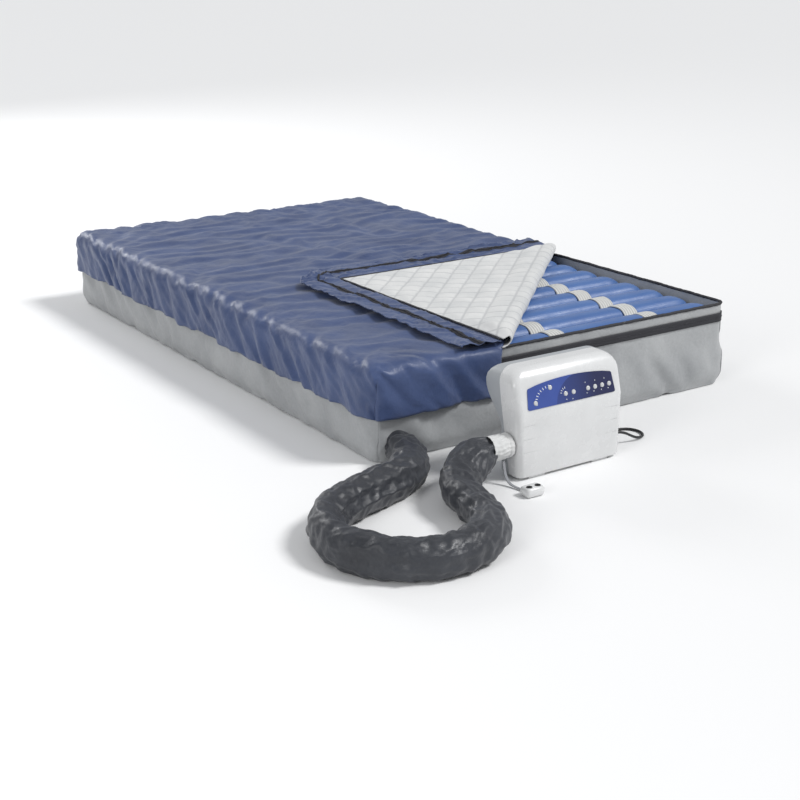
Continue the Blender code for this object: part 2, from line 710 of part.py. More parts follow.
def make_power_switch():
    """Rocker on the pump's side, rocking about a line along Y inside the case wall."""
    centre = switch_centre()
    outline = [(-0.0060, -0.0090), (0.0020, -0.0096), (0.0006, 0.0), (-0.0006, 0.0096), (-0.0060, 0.0090)]
    bm = bmesh.new()
    rings = [[(centre.x + x, centre.y + side * 0.0065, centre.z + z) for x, z in outline]
             for side in (-1, 1)]
    add_loft(bm, rings)
    mesh_object("power_switch", bm, PARTS, BLACK_PLASTIC)


def make_pump_feet():
    for name, x_offset in (("pump_foot_left", -0.100), ("pump_foot_right", 0.100)):
        x = PUMP_X + x_offset
        rounded_box(name, (x - 0.0245, PUMP_FRONT + 0.0075, 0),
                    (x + 0.0245, PUMP_FRONT + PUMP_LOW_DEPTH - 0.0075, FOOT_HEIGHT - TOUCH_GAP),
                    0.0015, 2, CASE_WHITE)


def make_pump_insides():
    """Compressor, air distributor and control board inside the case."""
    rounded_box("compressor", (PUMP_X - 0.090, PUMP_FRONT + 0.008, FOOT_HEIGHT + 0.008),
                (PUMP_X + 0.030, PUMP_FRONT + 0.070, FOOT_HEIGHT + 0.092), 0.010, 2, DARK_METAL)
    valve = bmesh.new()
    centre = Vector((PUMP_X - 0.128, PUMP_FRONT + 0.012, FOOT_HEIGHT + 0.075))
    add_cylinder(valve, centre, centre + Vector((0, 0.048, 0)), 0.022, 20)
    mesh_object("air_distributor", valve, PARTS, BUTTON_SILVER)
    board = bmesh.new()
    outline = ((0.015, 0.004), (0.259, 0.004), (0.259, 0.050), (0.015, 0.050))
    rings = [[panel_point(x, y, out) for x, y in outline] for out in (-0.0135, -0.0119)]
    add_loft(board, rings)
    mesh_object("control_board", board, PARTS, BOARD_GREEN)


def make_filter_cover():
    back = PUMP_FRONT + PUMP_LOW_DEPTH + TOUCH_GAP
    rounded_box("filter_cover", (PUMP_X - 0.030, back, FOOT_HEIGHT + 0.022),
                (PUMP_X + 0.030, back + 0.004, FOOT_HEIGHT + 0.062), 0.0015, 2, CASE_GREY)


# Air hose and its connector

def make_air_connector():
    """Quick connector on the pump's left side, with the hose's cuff round it."""
    half, _, _ = case_section(CONNECTOR_Z + CONNECTOR_RADIUS - FOOT_HEIGHT, 0)
    face = PUMP_X - half - TOUCH_GAP
    out = HOSE_ROUTE[-1][0] + CONNECTOR_SETBACK
    length = face - out
    place = Matrix.Translation((face, CONNECTOR_Y, CONNECTOR_Z))
    place = place @ Matrix.Rotation(math.radians(-90), 4, "Y")
    radius = CONNECTOR_RADIUS
    neck, throat = radius * 0.86, radius * 0.76
    profile = [(0.0, length), (radius, length), (radius, length * 0.45), (neck, length * 0.38),
               (neck, length * 0.12), (throat, length * 0.05), (throat, 0.0), (0.0, 0.0)]
    turned_object("air_connector", profile, 20, place, CASE_WHITE)


def make_air_hose():
    tube_object("air_hose", smooth_route(HOSE_ROUTE, 0.045, HOSE_WAYS), HOSE_DIAMETER / 2, 3, HOSE_GREY)


def make_dust_cap():
    """Cap with two sockets, on its webbing tether, lying in front of the connector."""
    low = [CAP_CENTRE[i] - CAP_SIZE[i] / 2 for i in range(3)]
    high = [CAP_CENTRE[i] + CAP_SIZE[i] / 2 for i in range(3)]
    cap = rounded_box("dust_cap", low, high, 0.008, 3, CASE_WHITE)
    bm = bmesh.new()
    for side in (-1, 1):
        x = CAP_CENTRE[0] + side * 0.0125
        add_cylinder(bm, (x, CAP_CENTRE[1] - 0.004, high[2] - CAP_SOCKET_DEPTH),
                     (x, CAP_CENTRE[1] - 0.004, high[2] + 0.010), CAP_SOCKET_RADIUS)
    add_boolean(cap, make_cutter("cap_sockets", bm), "DIFFERENCE")
    tether = smooth_route(TETHER_ROUTE, 0.010, TETHER_WAYS)
    tube_object("cap_tether", tether, TETHER_DIAMETER / 2, 2, WEBBING_GREY)


# Mains cord

def make_strain_relief():
    start = Vector(RELIEF_START)
    half, _, _ = case_section(RELIEF_START[2] + RELIEF_RADIUS - FOOT_HEIGHT, 0)
    start.x = PUMP_X + half + TOUCH_GAP
    end = Vector((RELIEF_START[0] + RELIEF_LENGTH, RELIEF_START[1], RELIEF_START[2]))
    bm = bmesh.new()
    add_cylinder(bm, start, end, RELIEF_RADIUS, 16, 0.0050)
    mesh_object("strain_relief", bm, PARTS, BLACK_PLASTIC)


def make_mains_cord():
    """The run from the strain relief to the coil, and the coil's outer shape."""
    points = smooth_route(CORD_ROUTE, 0.012, CORD_WAYS)
    tube_object("mains_cord", points, CORD_DIAMETER / 2, 2, BLACK_PLASTIC)
    profile = [(COIL_INNER, COIL_HEIGHT), (COIL_OUTER, COIL_HEIGHT), (COIL_OUTER, 0.0003),
               (COIL_INNER, 0.0003), (COIL_INNER, COIL_HEIGHT)]
    turned_object("cord_coil", profile, 28, Matrix.Translation((*COIL_CENTRE, 0)), BLACK_PLASTIC)


def make_plug():
    """Moulded plug with flat blades, lying on the coil."""
    x, y, z = PLUG_CENTRE
    low, high = (x - 0.018, y - 0.013, z - 0.0105), (x + 0.020, y + 0.013, z + 0.0105)
    plug = rounded_box("mains_plug", low, high, 0.004, 2, BLACK_PLASTIC)
    blades = bmesh.new()
    for side in (-1, 1):
        add_box(blades, (x - 0.035, y + side * 0.0064 - 0.0008, z - 0.0032),
                (x - 0.010, y + side * 0.0064 + 0.0008, z + 0.0032))
    add_boolean(plug, make_cutter("plug_blades", blades), "UNION")


clear_scene()
PARTS = make_collection("pressure relief mattress")
CUTTERS = make_collection("cutters")

NAVY_CLOTH = make_material("navy cloth", (0.045, 0.070, 0.165), 0.55)
SILVER_CLOTH = make_material("silver grey cloth", (0.42, 0.44, 0.47), 0.60)
CELL_BLUE = make_material("blue cell film", (0.085, 0.190, 0.480), 0.40)
STRAP_WHITE = make_material("white strap", (0.78, 0.79, 0.80), 0.70)
LINING_WHITE = make_material("white quilted lining", (0.82, 0.83, 0.83), 0.85)
TUBE_CLEAR = make_material("air line", (0.70, 0.74, 0.76), 0.30)
CASE_WHITE = make_material("white case", (0.88, 0.89, 0.89), 0.30)
CASE_GREY = make_material("grey case", (0.45, 0.47, 0.50), 0.45)
PANEL_BLUE = make_material("blue panel", (0.055, 0.100, 0.330), 0.35)
BUTTON_SILVER = make_material("silver button", (0.72, 0.73, 0.74), 0.30, 0.4)
BOARD_GREEN = make_material("control board", (0.05, 0.22, 0.10), 0.50)
BLACK_PLASTIC = make_material("black plastic", (0.02, 0.02, 0.022), 0.50)
DARK_METAL = make_material("dark metal", (0.12, 0.12, 0.13), 0.40, 0.8)
HOSE_GREY = make_material("grey hose sleeve", (0.14, 0.15, 0.17), 0.60)
WEBBING_GREY = make_material("grey webbing", (0.35, 0.36, 0.38), 0.75)

make_base_cover()
make_air_cells()
make_cell_straps()
make_air_manifolds()
make_top_cover()
make_corner_flap()
make_flap_skirts()
make_zip_slider()
make_pump_cases()
make_control_panel()
make_buttons()
make_bed_hooks()
make_power_switch()
make_pump_feet()
make_pump_insides()
make_filter_cover()
make_air_connector()
make_air_hose()
make_dust_cap()
make_strain_relief()
make_mains_cord()
make_plug()
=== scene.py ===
import json
import math

import bmesh
import bpy
import numpy as np
from mathutils import Matrix, Vector


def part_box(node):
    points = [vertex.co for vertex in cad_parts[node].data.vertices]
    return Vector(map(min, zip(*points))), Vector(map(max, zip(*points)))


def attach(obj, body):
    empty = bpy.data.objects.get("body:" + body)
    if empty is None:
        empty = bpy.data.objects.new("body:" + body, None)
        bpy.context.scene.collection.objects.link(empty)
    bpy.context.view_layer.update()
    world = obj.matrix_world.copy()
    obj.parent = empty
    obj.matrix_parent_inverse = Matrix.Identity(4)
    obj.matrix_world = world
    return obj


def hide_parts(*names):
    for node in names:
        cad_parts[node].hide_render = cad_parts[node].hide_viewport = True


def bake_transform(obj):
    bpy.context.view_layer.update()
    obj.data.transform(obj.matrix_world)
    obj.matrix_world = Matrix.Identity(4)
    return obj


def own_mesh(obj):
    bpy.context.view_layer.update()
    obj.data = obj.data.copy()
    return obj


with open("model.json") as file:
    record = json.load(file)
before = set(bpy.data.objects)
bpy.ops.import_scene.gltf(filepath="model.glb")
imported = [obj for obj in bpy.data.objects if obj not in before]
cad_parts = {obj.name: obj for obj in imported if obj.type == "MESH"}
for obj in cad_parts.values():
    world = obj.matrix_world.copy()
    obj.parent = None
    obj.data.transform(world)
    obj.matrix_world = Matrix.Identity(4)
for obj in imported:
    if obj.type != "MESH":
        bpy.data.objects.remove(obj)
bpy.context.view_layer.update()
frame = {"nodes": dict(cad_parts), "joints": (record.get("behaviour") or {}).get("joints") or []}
ROOT = "mattress_and_pump"
FLAP = "corner_flap_body"
JOINTS = {joint["name"]: joint for joint in frame["joints"]}

# Sizes and cord routes, in metres. The routes are the CAD model's own.
COVER_LOW, COVER_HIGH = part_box("top_cover")
BASE_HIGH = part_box("base_cover")[1]
HALF_X, HALF_Y, TOP_Z = COVER_HIGH
SKIRT_DEPTH = TOP_Z - COVER_LOW.z
FOLD_START = Vector(JOINTS["corner_fold"]["pos_m"])
FOLD_ALONG = Vector(JOINTS["corner_fold"]["axis"])
FOLD_INWARD = Vector((-FOLD_ALONG.y, FOLD_ALONG.x, 0))
APEX = Vector((FOLD_START.x, JOINTS["side_skirt_fold"]["pos_m"][1], 0))
LEG = APEX.y - FOLD_START.y
FOLD_LENGTH = LEG * math.sqrt(2)
CORNER_ROUND = 0.035
QUILT_PITCH = 0.058
QUILT_START = 0.020
CELL_COUNT = 20
HALF_STRAP = 0.025
HOSE_DIAMETER = 0.085
HOSE_REST = HOSE_DIAMETER / 2 + 0.001
HOSE_ROUTE = (
    (-0.540, -1.0050, HOSE_REST), (-0.556, -1.084, HOSE_REST), (-0.601, -1.153, HOSE_REST),
    (-0.671, -1.197, HOSE_REST), (-0.753, -1.227, HOSE_REST), (-0.836, -1.257, HOSE_REST),
    (-0.907, -1.299, HOSE_REST), (-0.954, -1.361, HOSE_REST), (-0.971, -1.437, HOSE_REST),
    (-0.954, -1.513, HOSE_REST), (-0.907, -1.575, HOSE_REST), (-0.838, -1.611, HOSE_REST),
    (-0.760, -1.614, HOSE_REST), (-0.688, -1.584, HOSE_REST), (-0.635, -1.527, HOSE_REST),
    (-0.611, -1.447, HOSE_REST), (-0.594, -1.3640, 0.0480), (-0.5485, -1.3000, 0.0610),
    (-0.485, -1.2645, 0.0790), (-0.436, -1.2565, 0.0870),
)
TETHER_WIDTH = 0.008
TETHER_ROUTE = (
    (-0.4080, -1.2740, 0.0560), (-0.4085, -1.2770, 0.0450), (-0.4095, -1.2820, 0.0310),
    (-0.4100, -1.2910, 0.0170), (-0.4090, -1.3050, 0.0075), (-0.4060, -1.3230, 0.0046),
    (-0.4030, -1.3400, 0.0046), (-0.4010, -1.3560, 0.0060),
)
CORD_DIAMETER = 0.007
CORD_REST = CORD_DIAMETER / 2 + 0.0003
COIL_CENTRE = (-0.160, -1.096)
COIL_OUTER_TURN = 0.054
COIL_COLUMNS = 5
COIL_LAYERS = 3
COIL_LINE_Y = COIL_CENTRE[1] - COIL_OUTER_TURN
CORD_ROUTE = (
    (-0.0212, -1.2300, 0.0360), (-0.0010, -1.2310, 0.0350), (0.0190, -1.2325, 0.0290),
    (0.0380, -1.2335, 0.0190), (0.0570, -1.2330, 0.0100), (0.0780, -1.2280, 0.0050),
    (0.0970, -1.2155, CORD_REST), (0.1060, -1.1950, CORD_REST), (0.1035, -1.1730, CORD_REST),
    (0.0895, -1.1560, CORD_REST), (0.0670, -1.1475, CORD_REST), (0.0400, -1.1445, CORD_REST),
    (0.0110, -1.1445, CORD_REST), (-0.0150, -1.1460, CORD_REST), (-0.0430, -1.1480, CORD_REST),
    (-0.0720, -1.1495, CORD_REST), (-0.1010, COIL_LINE_Y, CORD_REST),
)


# Numbers and noise

def smooth(x):
    """0 below 0, 1 above 1, and an even curve between them."""
    x = np.clip(x, 0, 1)
    return x * x * (3 - 2 * x)


def noise(x, y, z=0.0, seed=0):
    """Gradient noise at arrays of coordinates, about -1 to 1."""
    rng = np.random.default_rng(seed)
    order = np.tile(rng.permutation(256), 3)
    slopes = rng.normal(size=(256, 3))
    slopes /= np.linalg.norm(slopes, axis=1)[:, None]
    x, y, z = np.broadcast_arrays(x, y, z)
    points = np.stack([x, y, z], axis=-1).astype(float)
    cell = np.floor(points).astype(int)
    part = points - cell
    cell &= 255
    fade = part ** 3 * (part * (part * 6 - 15) + 10)
    total = np.zeros(x.shape)
    for corner in np.ndindex(2, 2, 2):
        a, b, c = ((cell[..., i] + corner[i]) & 255 for i in range(3))
        slope = slopes[order[order[order[a] + b] + c]]
        weight = np.prod(np.where(corner, fade, 1 - fade), axis=-1)
        total += weight * ((part - corner) * slope).sum(axis=-1)
    return total * 1.5


def crests(value, sharp, narrow=2.4):
    """Ridges from 0 to 1 along the lines where a noise value is 0."""
    return np.clip(1 - np.abs(value) * narrow, 0, 1) ** sharp


def folds(u, v, width, length, seed, sharp=1.5):
    """Crests from 0 to 1, about width apart across u and length long along v."""
    bend = 0.7 * noise(u / (3 * width), 2 * v / length, seed=seed + 50)
    return crests(noise(u / width + bend, v / length, seed=seed), sharp, 2.3)


def smooth_route(points, spacing, start_way=None, end_way=None):
    """Points at an even spacing on a Catmull-Rom curve through the route."""
    route = [Vector(point) for point in points]
    before, after = 2 * route[0] - route[1], 2 * route[-1] - route[-2]
    if start_way:
        before = route[1] - 2 * (route[1] - route[0]).length * Vector(start_way)
    if end_way:
        after = route[-2] + 2 * (route[-1] - route[-2]).length * Vector(end_way)
    route = np.array([before, *route, after])
    dense = []
    for p, q, r, s in zip(route, route[1:], route[2:], route[3:]):
        t = np.arange(24)[:, None] / 24
        dense.append(0.5 * (2 * q + (r - p) * t + (2 * p - 5 * q + 4 * r - s) * t ** 2
                            + (3 * q - p - 3 * r + s) * t ** 3))
    dense = np.concatenate([*dense, route[-2:-1]])
    lengths = run_length(dense)
    places = np.linspace(0, lengths[-1], max(2, round(lengths[-1] / spacing)) + 1)
    return np.stack([np.interp(places, lengths, dense[:, i]) for i in range(3)], axis=1)


def run_length(path):
    """Distance along a path at each of its points."""
    return np.concatenate([[0], np.cumsum(np.linalg.norm(np.diff(path, axis=0), axis=1))])


def headings(path):
    """Unit direction at each point of a path."""
    ways = np.gradient(path, axis=0)
    return ways / np.linalg.norm(ways, axis=1)[:, None]


def circle(count):
    """Angles spread evenly over a whole turn."""
    return np.linspace(0, 2 * math.pi, count, endpoint=False)


# Meshes

SETTLE_FRAMES = 20


def link(name, data):
    """A new object of the data, in the scene."""
    obj = bpy.data.objects.new(name, data)
    bpy.context.scene.collection.objects.link(obj)
    return obj


def mesh_object(name, points, faces):
    mesh = bpy.data.meshes.new(name)
    mesh.from_pydata(np.asarray(points, float).tolist(), [], faces)
    mesh.polygons.foreach_set("use_smooth", [True] * len(mesh.polygons))
    mesh.update()
    return link(name, mesh)


def grid_faces(rows, columns, wrap=False, start=0):
    """Quads of a grid of points; wrap joins the last column to the first."""
    faces = []
    for row in range(start, start + (rows - 1) * columns, columns):
        for j in range(columns if wrap else columns - 1):
            k = (j + 1) % columns
            faces.append((row + j, row + k, row + columns + k, row + columns + j))
    return faces


def grid_object(name, grid, wrap=False, caps=False):
    """A grid of points as a mesh. With caps, each end row is closed by a face."""
    rows, columns = grid.shape[:2]
    faces = grid_faces(rows, columns, wrap)
    if caps:
        faces.append(tuple(reversed(range(columns))))
        faces.append(tuple(range((rows - 1) * columns, rows * columns)))
    return mesh_object(name, grid.reshape(-1, 3), faces)


def read_points(obj, kind="co"):
    values = np.zeros(len(obj.data.vertices) * 3)
    obj.data.vertices.foreach_get(kind, values)
    return values.reshape(-1, 3)


def write_points(obj, points):
    obj.data.vertices.foreach_set("co", points.ravel())
    obj.data.update()


def cut_away(obj, planes):
    """Cut the mesh at each (point, normal) plane and drop what the normal points to."""
    bm = bmesh.new()
    bm.from_mesh(obj.data)
    for point, normal in planes:
        geometry = bm.verts[:] + bm.edges[:] + bm.faces[:]
        bmesh.ops.bisect_plane(bm, geom=geometry, plane_co=point, plane_no=normal,
                               clear_outer=True, dist=0.00005)
    bm.to_mesh(obj.data)
    bm.free()
    obj.data.update()


def settle(obj, base, growth, hold, cap, bending):
    """Let a piece's folds buckle and relax, as cloth with a share of spare length.

    The hold ties each point to where it starts, and none ends past the cap from its base."""
    group = obj.vertex_groups.new(name="hold")
    group.add(list(range(len(obj.data.vertices))), hold, "REPLACE")
    modifier = obj.modifiers.new("settle", "CLOTH")
    modifier.point_cache.frame_start, modifier.point_cache.frame_end = 1, SETTLE_FRAMES
    modifier.collision_settings.use_collision = False
    cloth = modifier.settings
    cloth.effector_weights.gravity = 0
    cloth.shrink_min = -growth
    cloth.vertex_group_mass = "hold"
    cloth.quality = 5
    cloth.mass = 0.3
    cloth.air_damping = 1
    cloth.tension_stiffness = cloth.compression_stiffness = 40
    cloth.bending_stiffness = bending
    for number in range(1, SETTLE_FRAMES + 1):
        bpy.context.scene.frame_set(number)
    points = read_points(obj.evaluated_get(bpy.context.evaluated_depsgraph_get()))
    obj.modifiers.remove(modifier)
    obj.vertex_groups.remove(group)
    bpy.context.scene.frame_set(1)
    move = points - base
    size = np.maximum(np.linalg.norm(move, axis=1), 1e-9)
    write_points(obj, base + move * (cap * np.tanh(size / cap) / size)[:, None])


def subdivide(obj):
    """One smooth subdivision, applied."""
    modifier = obj.modifiers.new("finer", "SUBSURF")
    modifier.levels = 1
    evaluated = obj.evaluated_get(bpy.context.evaluated_depsgraph_get())
    mesh = bpy.data.meshes.new_from_object(evaluated)
    obj.modifiers.clear()
    obj.data = mesh


def tube_frames(path):
    """Side and up directions at each point of a path, without twist."""
    ways, ups = headings(path), []
    up = np.array([0.0, 0.0, 1.0])
    for way in ways:
        up = up - way * (up @ way)
        up /= np.linalg.norm(up)
        ups.append(up)
    return np.cross(ways, ups), np.array(ups)


def tube_grid(path, radius, sides):
    """Rings round a path. The radius may be a number or an array of rings by sides."""
    side, up = tube_frames(path)
    turn = circle(sides)[None, :, None]
    radius = np.broadcast_to(radius, (len(path), sides))[..., None]
    return path[:, None] + (side[:, None] * np.cos(turn) + up[:, None] * np.sin(turn)) * radius


def tube(name, path, radius, sides):
    """A closed tube round a path."""
    return grid_object(name, tube_grid(path, radius, sides), wrap=True, caps=True)


def add_piece(obj, material, slot, body=ROOT, replaces=(), thick=0, offset=-1):
    """Set a finished piece on its body, with its material and, if it is a sheet, its thickness."""
    obj.data.materials.clear()
    obj.data.materials.append(material)
    if body:
        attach(obj, body)
    if replaces:
        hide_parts(*replaces)
    if thick:
        modifier = obj.modifiers.new("cloth thickness", "SOLIDIFY")
        modifier.thickness = thick
        modifier.offset = offset
        modifier.use_rim = True
    return obj


# Materials

class Shader:
    """A material's nodes, built up by short calls. All textures read object space."""

    def __init__(self, name, colour, roughness, **sockets):
        self.material = bpy.data.materials.new(name)
        self.material.use_nodes = True
        self.tree = self.material.node_tree
        self.base = self.tree.nodes["Principled BSDF"]
        self.base.inputs["Base Color"].default_value = (*colour, 1)
        self.base.inputs["Roughness"].default_value = roughness
        for socket, value in sockets.items():
            self.base.inputs[socket.replace("_", " ")].default_value = value
        self.place = self.node("ShaderNodeTexCoord").outputs["Object"]

    def node(self, kind, inputs=(), **settings):
        made = self.tree.nodes.new(kind)
        for key, value in settings.items():
            setattr(made, key, value)
        for key, value in dict(inputs).items():
            self.feed(made.inputs[key], value)
        return made

    def feed(self, socket, value):
        if isinstance(value, bpy.types.NodeSocket):
            self.tree.links.new(value, socket)
        else:
            socket.default_value = value

    def noise(self, scale, detail=3.0, vector=None, distortion=0.0):
        return self.node("ShaderNodeTexNoise", {
            "Vector": vector or self.place, "Scale": scale, "Detail": detail,
            "Distortion": distortion}).outputs["Fac"]

    def threads(self, pitch, direction):
        """Ridges at a pitch along a direction. A wave texture's scale is 1 / (2 pi) a ridge."""
        return self.node("ShaderNodeTexWave", {"Vector": self.place, "Scale": 0.159 / pitch},
                         bands_direction=direction).outputs["Fac"]

    def maths(self, operation, a, b=0.0):
        made = self.node("ShaderNodeMath", operation=operation)
        self.feed(made.inputs[0], a)
        self.feed(made.inputs[1], b)
        return made.outputs[0]

    def ramp(self, value, low, high, out_low=0.0, out_high=1.0):
        return self.node("ShaderNodeMapRange", {
            "Value": value, "From Min": low, "From Max": high, "To Min": out_low,
            "To Max": out_high}).outputs["Result"]

    def clouds(self, scale, detail, out_low=0.0, out_high=1.0, low=0.3, high=0.7):
        """Noise stretched to run from one value to another."""
        return self.ramp(self.noise(scale, detail), low, high, out_low, out_high)

    def mix(self, share, first, second):
        made = self.node("ShaderNodeMix", data_type="RGBA")
        self.feed(made.inputs[0], share)
        self.feed(made.inputs[6], (*first, 1) if isinstance(first, tuple) else first)
        self.feed(made.inputs[7], (*second, 1) if isinstance(second, tuple) else second)
        return made.outputs[2]

    def colour(self, value):
        self.feed(self.base.inputs["Base Color"], value)

    def roughness(self, value):
        self.feed(self.base.inputs["Roughness"], value)

    def bump(self, *layers):
        """Stack bumps of (height, strength, distance)."""
        normal = None
        for height, strength, distance in layers:
            made = self.node("ShaderNodeBump", {"Height": height, "Strength": strength,
                                                "Distance": distance})
            if normal:
                self.tree.links.new(normal, made.inputs["Normal"])
            normal = made.outputs["Normal"]
        self.tree.links.new(normal, self.base.inputs["Normal"])

    def weave(self, pitch):
        """Crossed threads, in all three directions."""
        threads = [self.threads(pitch, way) for way in "XYZ"]
        crossed = self.maths("MULTIPLY", threads[0], threads[1])
        return self.maths("ADD", crossed, self.maths("MULTIPLY", threads[2], 0.5))


def nylon(name, dark, light, roughness, crease, sheen):
    """Coated nylon: fine weave, faint cloudy colour, and small crushed creases."""
    s = Shader(name, light, roughness, Sheen_Weight=sheen, Sheen_Roughness=0.45,
               Specular_IOR_Level=0.45)
    share = s.maths("ADD", s.clouds(7, 4, 0, 0.75), s.clouds(160, 2, 0, 0.25))
    s.colour(s.mix(share, dark, light))
    s.roughness(s.clouds(24, 4, roughness - 0.07, roughness + 0.09))
    s.bump((s.noise(16, 6, distortion=1.2), crease, 0.010),
           (s.noise(70, 4, distortion=0.6), crease * 0.6, 0.003),
           (s.weave(0.0011), 0.25, 0.0003))
    return s.material


def moulded(name, colour, roughness, grain, coat=0.0):
    """Moulded plastic: faint grain, handling marks in the gloss, and slight mottling."""
    s = Shader(name, colour, roughness, Coat_Weight=coat, Coat_Roughness=0.12)
    shade = tuple(c * 0.93 for c in colour)
    s.colour(s.mix(s.ramp(s.noise(9, 5), 0.35, 0.65), shade, colour))
    s.roughness(s.ramp(s.noise(38, 5), 0.3, 0.75, roughness - 0.05, roughness + 0.10))
    s.bump((s.noise(900, 2), grain, 0.0004), (s.noise(14, 2), grain * 0.3, 0.002))
    return s.material


def make_cell_film():
    """Satin blue film with a fine woven face and small pressure dimples."""
    s = Shader("blue cell film", (0.075, 0.19, 0.50), 0.38, Specular_IOR_Level=0.5,
               Sheen_Weight=0.12)
    s.colour(s.mix(s.clouds(5, 4), (0.050, 0.130, 0.36), (0.072, 0.170, 0.43)))
    s.roughness(s.clouds(30, 4, 0.32, 0.48))
    stretched = s.node("ShaderNodeMapping", {
        "Vector": s.place, "Scale": (1.0, 5.0, 5.0)}).outputs["Vector"]
    s.bump((s.noise(9, 4, stretched), 0.22, 0.006), (s.weave(0.0014), 0.3, 0.0004),
           (s.noise(120, 3), 0.1, 0.002))
    return s.material


def make_lining(quilted=True):
    """White brushed lining, darker in the stitched lines of its quilting."""
    s = Shader("white quilted lining", (0.70, 0.70, 0.69), 0.85, Sheen_Weight=0.1,
               Sheen_Roughness=0.6)
    cloth = s.mix(s.clouds(11, 5), (0.60, 0.61, 0.61), (0.72, 0.72, 0.71))
    if quilted:
        parts = s.node("ShaderNodeSeparateXYZ", {"Vector": s.place})
        x = s.maths("SUBTRACT", parts.outputs["X"], FOLD_START.x)
        y = s.maths("SUBTRACT", parts.outputs["Y"], FOLD_START.y)
        along = s.maths("MULTIPLY", s.maths("ADD", x, y), FOLD_ALONG.x)
        inward = s.maths("MULTIPLY", s.maths("SUBTRACT", y, x), FOLD_ALONG.x)
        inward = s.maths("SUBTRACT", inward, QUILT_START)
        nearest = s.maths("MINIMUM", s.maths("PINGPONG", along, QUILT_PITCH / 2),
                          s.maths("PINGPONG", inward, QUILT_PITCH / 2))
        cloth = s.mix(s.ramp(nearest, 0.0008, 0.0055, 0.42, 0.0), cloth, (0.30, 0.31, 0.33))
    s.colour(cloth)
    s.bump((s.noise(420, 3), 0.35, 0.0012), (s.noise(45, 4, distortion=0.7), 0.3, 0.003),
           (s.weave(0.0016), 0.3, 0.0005))
    return s.material


def make_strap_tape():
    """White woven tape with ribs along its run."""
    s = Shader("white ribbed tape", (0.78, 0.78, 0.76), 0.7, Sheen_Weight=0.2)
    ribs = s.threads(0.0045, "X")
    s.colour(s.mix(ribs, (0.46, 0.46, 0.44), (0.72, 0.72, 0.70)))
    s.bump((ribs, 0.7, 0.0012), (s.threads(0.0012, "Y"), 0.4, 0.0004),
           (s.noise(60, 4), 0.2, 0.002))
    return s.material


def make_webbing():
    s = Shader("grey webbing", (0.30, 0.31, 0.33), 0.75, Sheen_Weight=0.2)
    threads = s.threads(0.0013, "DIAGONAL")
    s.colour(s.mix(threads, (0.20, 0.21, 0.23), (0.38, 0.39, 0.41)))
    s.bump((threads, 0.6, 0.0005), (s.noise(200, 3), 0.2, 0.001))
    return s.material


def make_zip_tape():
    s = Shader("black zip tape", (0.013, 0.013, 0.018), 0.62)
    threads = s.threads(0.0010, "DIAGONAL")
    s.colour(s.mix(threads, (0.008, 0.008, 0.012), (0.030, 0.030, 0.038)))
    s.bump((threads, 0.5, 0.0004), (s.noise(90, 3), 0.3, 0.001))
    return s.material


def make_panel_print():
    """Blue overlay with a darker arched field at its right."""
    s = Shader("blue panel print", (0.050, 0.095, 0.36), 0.30, Coat_Weight=0.5,
               Coat_Roughness=0.08)
    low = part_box("control_panel")[0]
    parts = s.node("ShaderNodeSeparateXYZ", {"Vector": s.place})
    across = s.maths("SUBTRACT", parts.outputs["X"], low.x)
    up = s.maths("DIVIDE", s.maths("SUBTRACT", parts.outputs["Z"], low.z), math.cos(PANEL_TILT))
    dx = s.maths("SUBTRACT", across, 0.165)
    dy = s.maths("ADD", up, 0.012)
    away = s.maths("ADD", s.maths("MULTIPLY", dx, dx), s.maths("MULTIPLY", dy, dy))
    away = s.maths("SQRT", away)
    inside = s.ramp(away, 0.0782, 0.0790, 1, 0)
    right = s.ramp(across, 0.164, 0.166)
    field = s.maths("MAXIMUM", inside, right)
    depth = s.ramp(across, 0.085, 0.215, 0.35, 1.0)
    share = s.maths("MULTIPLY", field, depth)
    blue = s.mix(s.clouds(14, 3), (0.036, 0.072, 0.30), (0.045, 0.088, 0.345))
    s.colour(s.mix(share, blue, (0.014, 0.018, 0.075)))
    s.bump((s.noise(700, 2), 0.08, 0.0003))
    return s.material


def make_metal():
    s = Shader("dark zip metal", (0.16, 0.16, 0.17), 0.32, Metallic=0.9)
    s.roughness(s.clouds(220, 4, 0.22, 0.48))
    s.bump((s.noise(500, 3), 0.2, 0.0003))
    return s.material


def make_board():
    s = Shader("circuit board", (0.03, 0.16, 0.07), 0.45)
    cells = s.node("ShaderNodeTexVoronoi", {"Vector": s.place, "Scale": 260.0})
    traces = s.ramp(cells.outputs["Distance"], 0.2, 0.3)
    s.colour(s.mix(traces, (0.35, 0.30, 0.12), (0.03, 0.16, 0.07)))
    return s.material


# Camera, lights and floor

def make_camera():
    data = bpy.data.cameras.new("camera")
    data.lens = 63.1
    data.sensor_width = 36
    data.clip_start, data.clip_end = 0.05, 200
    camera = link("camera", data)
    forward = Vector((0.51516, 0.79622, -0.31724)).normalized()
    right = Vector((0.83800, -0.54561, -0.00859)).normalized()
    up = right.cross(forward)
    turn = Matrix((right, up, -forward)).transposed()
    camera.matrix_world = Matrix.Translation((-2.332, -3.791, 1.271)) @ turn.to_4x4()
    bpy.context.scene.camera = camera


def add_light(name, kind, power, away):
    """A light that shines against a direction."""
    data = bpy.data.lights.new(name, kind)
    data.energy = power
    light = link(name, data)
    light.rotation_mode = "QUATERNION"
    light.rotation_quaternion = away.to_track_quat("Z", "Y")
    return light


def add_soft_light(name, place, power):
    """A large round light that shines at the mattress."""
    light = add_light(name, "AREA", power, Vector(place) - Vector((0, 0, 0.1)))
    light.location = place
    light.data.shape = "DISK"
    light.data.size = 2.5


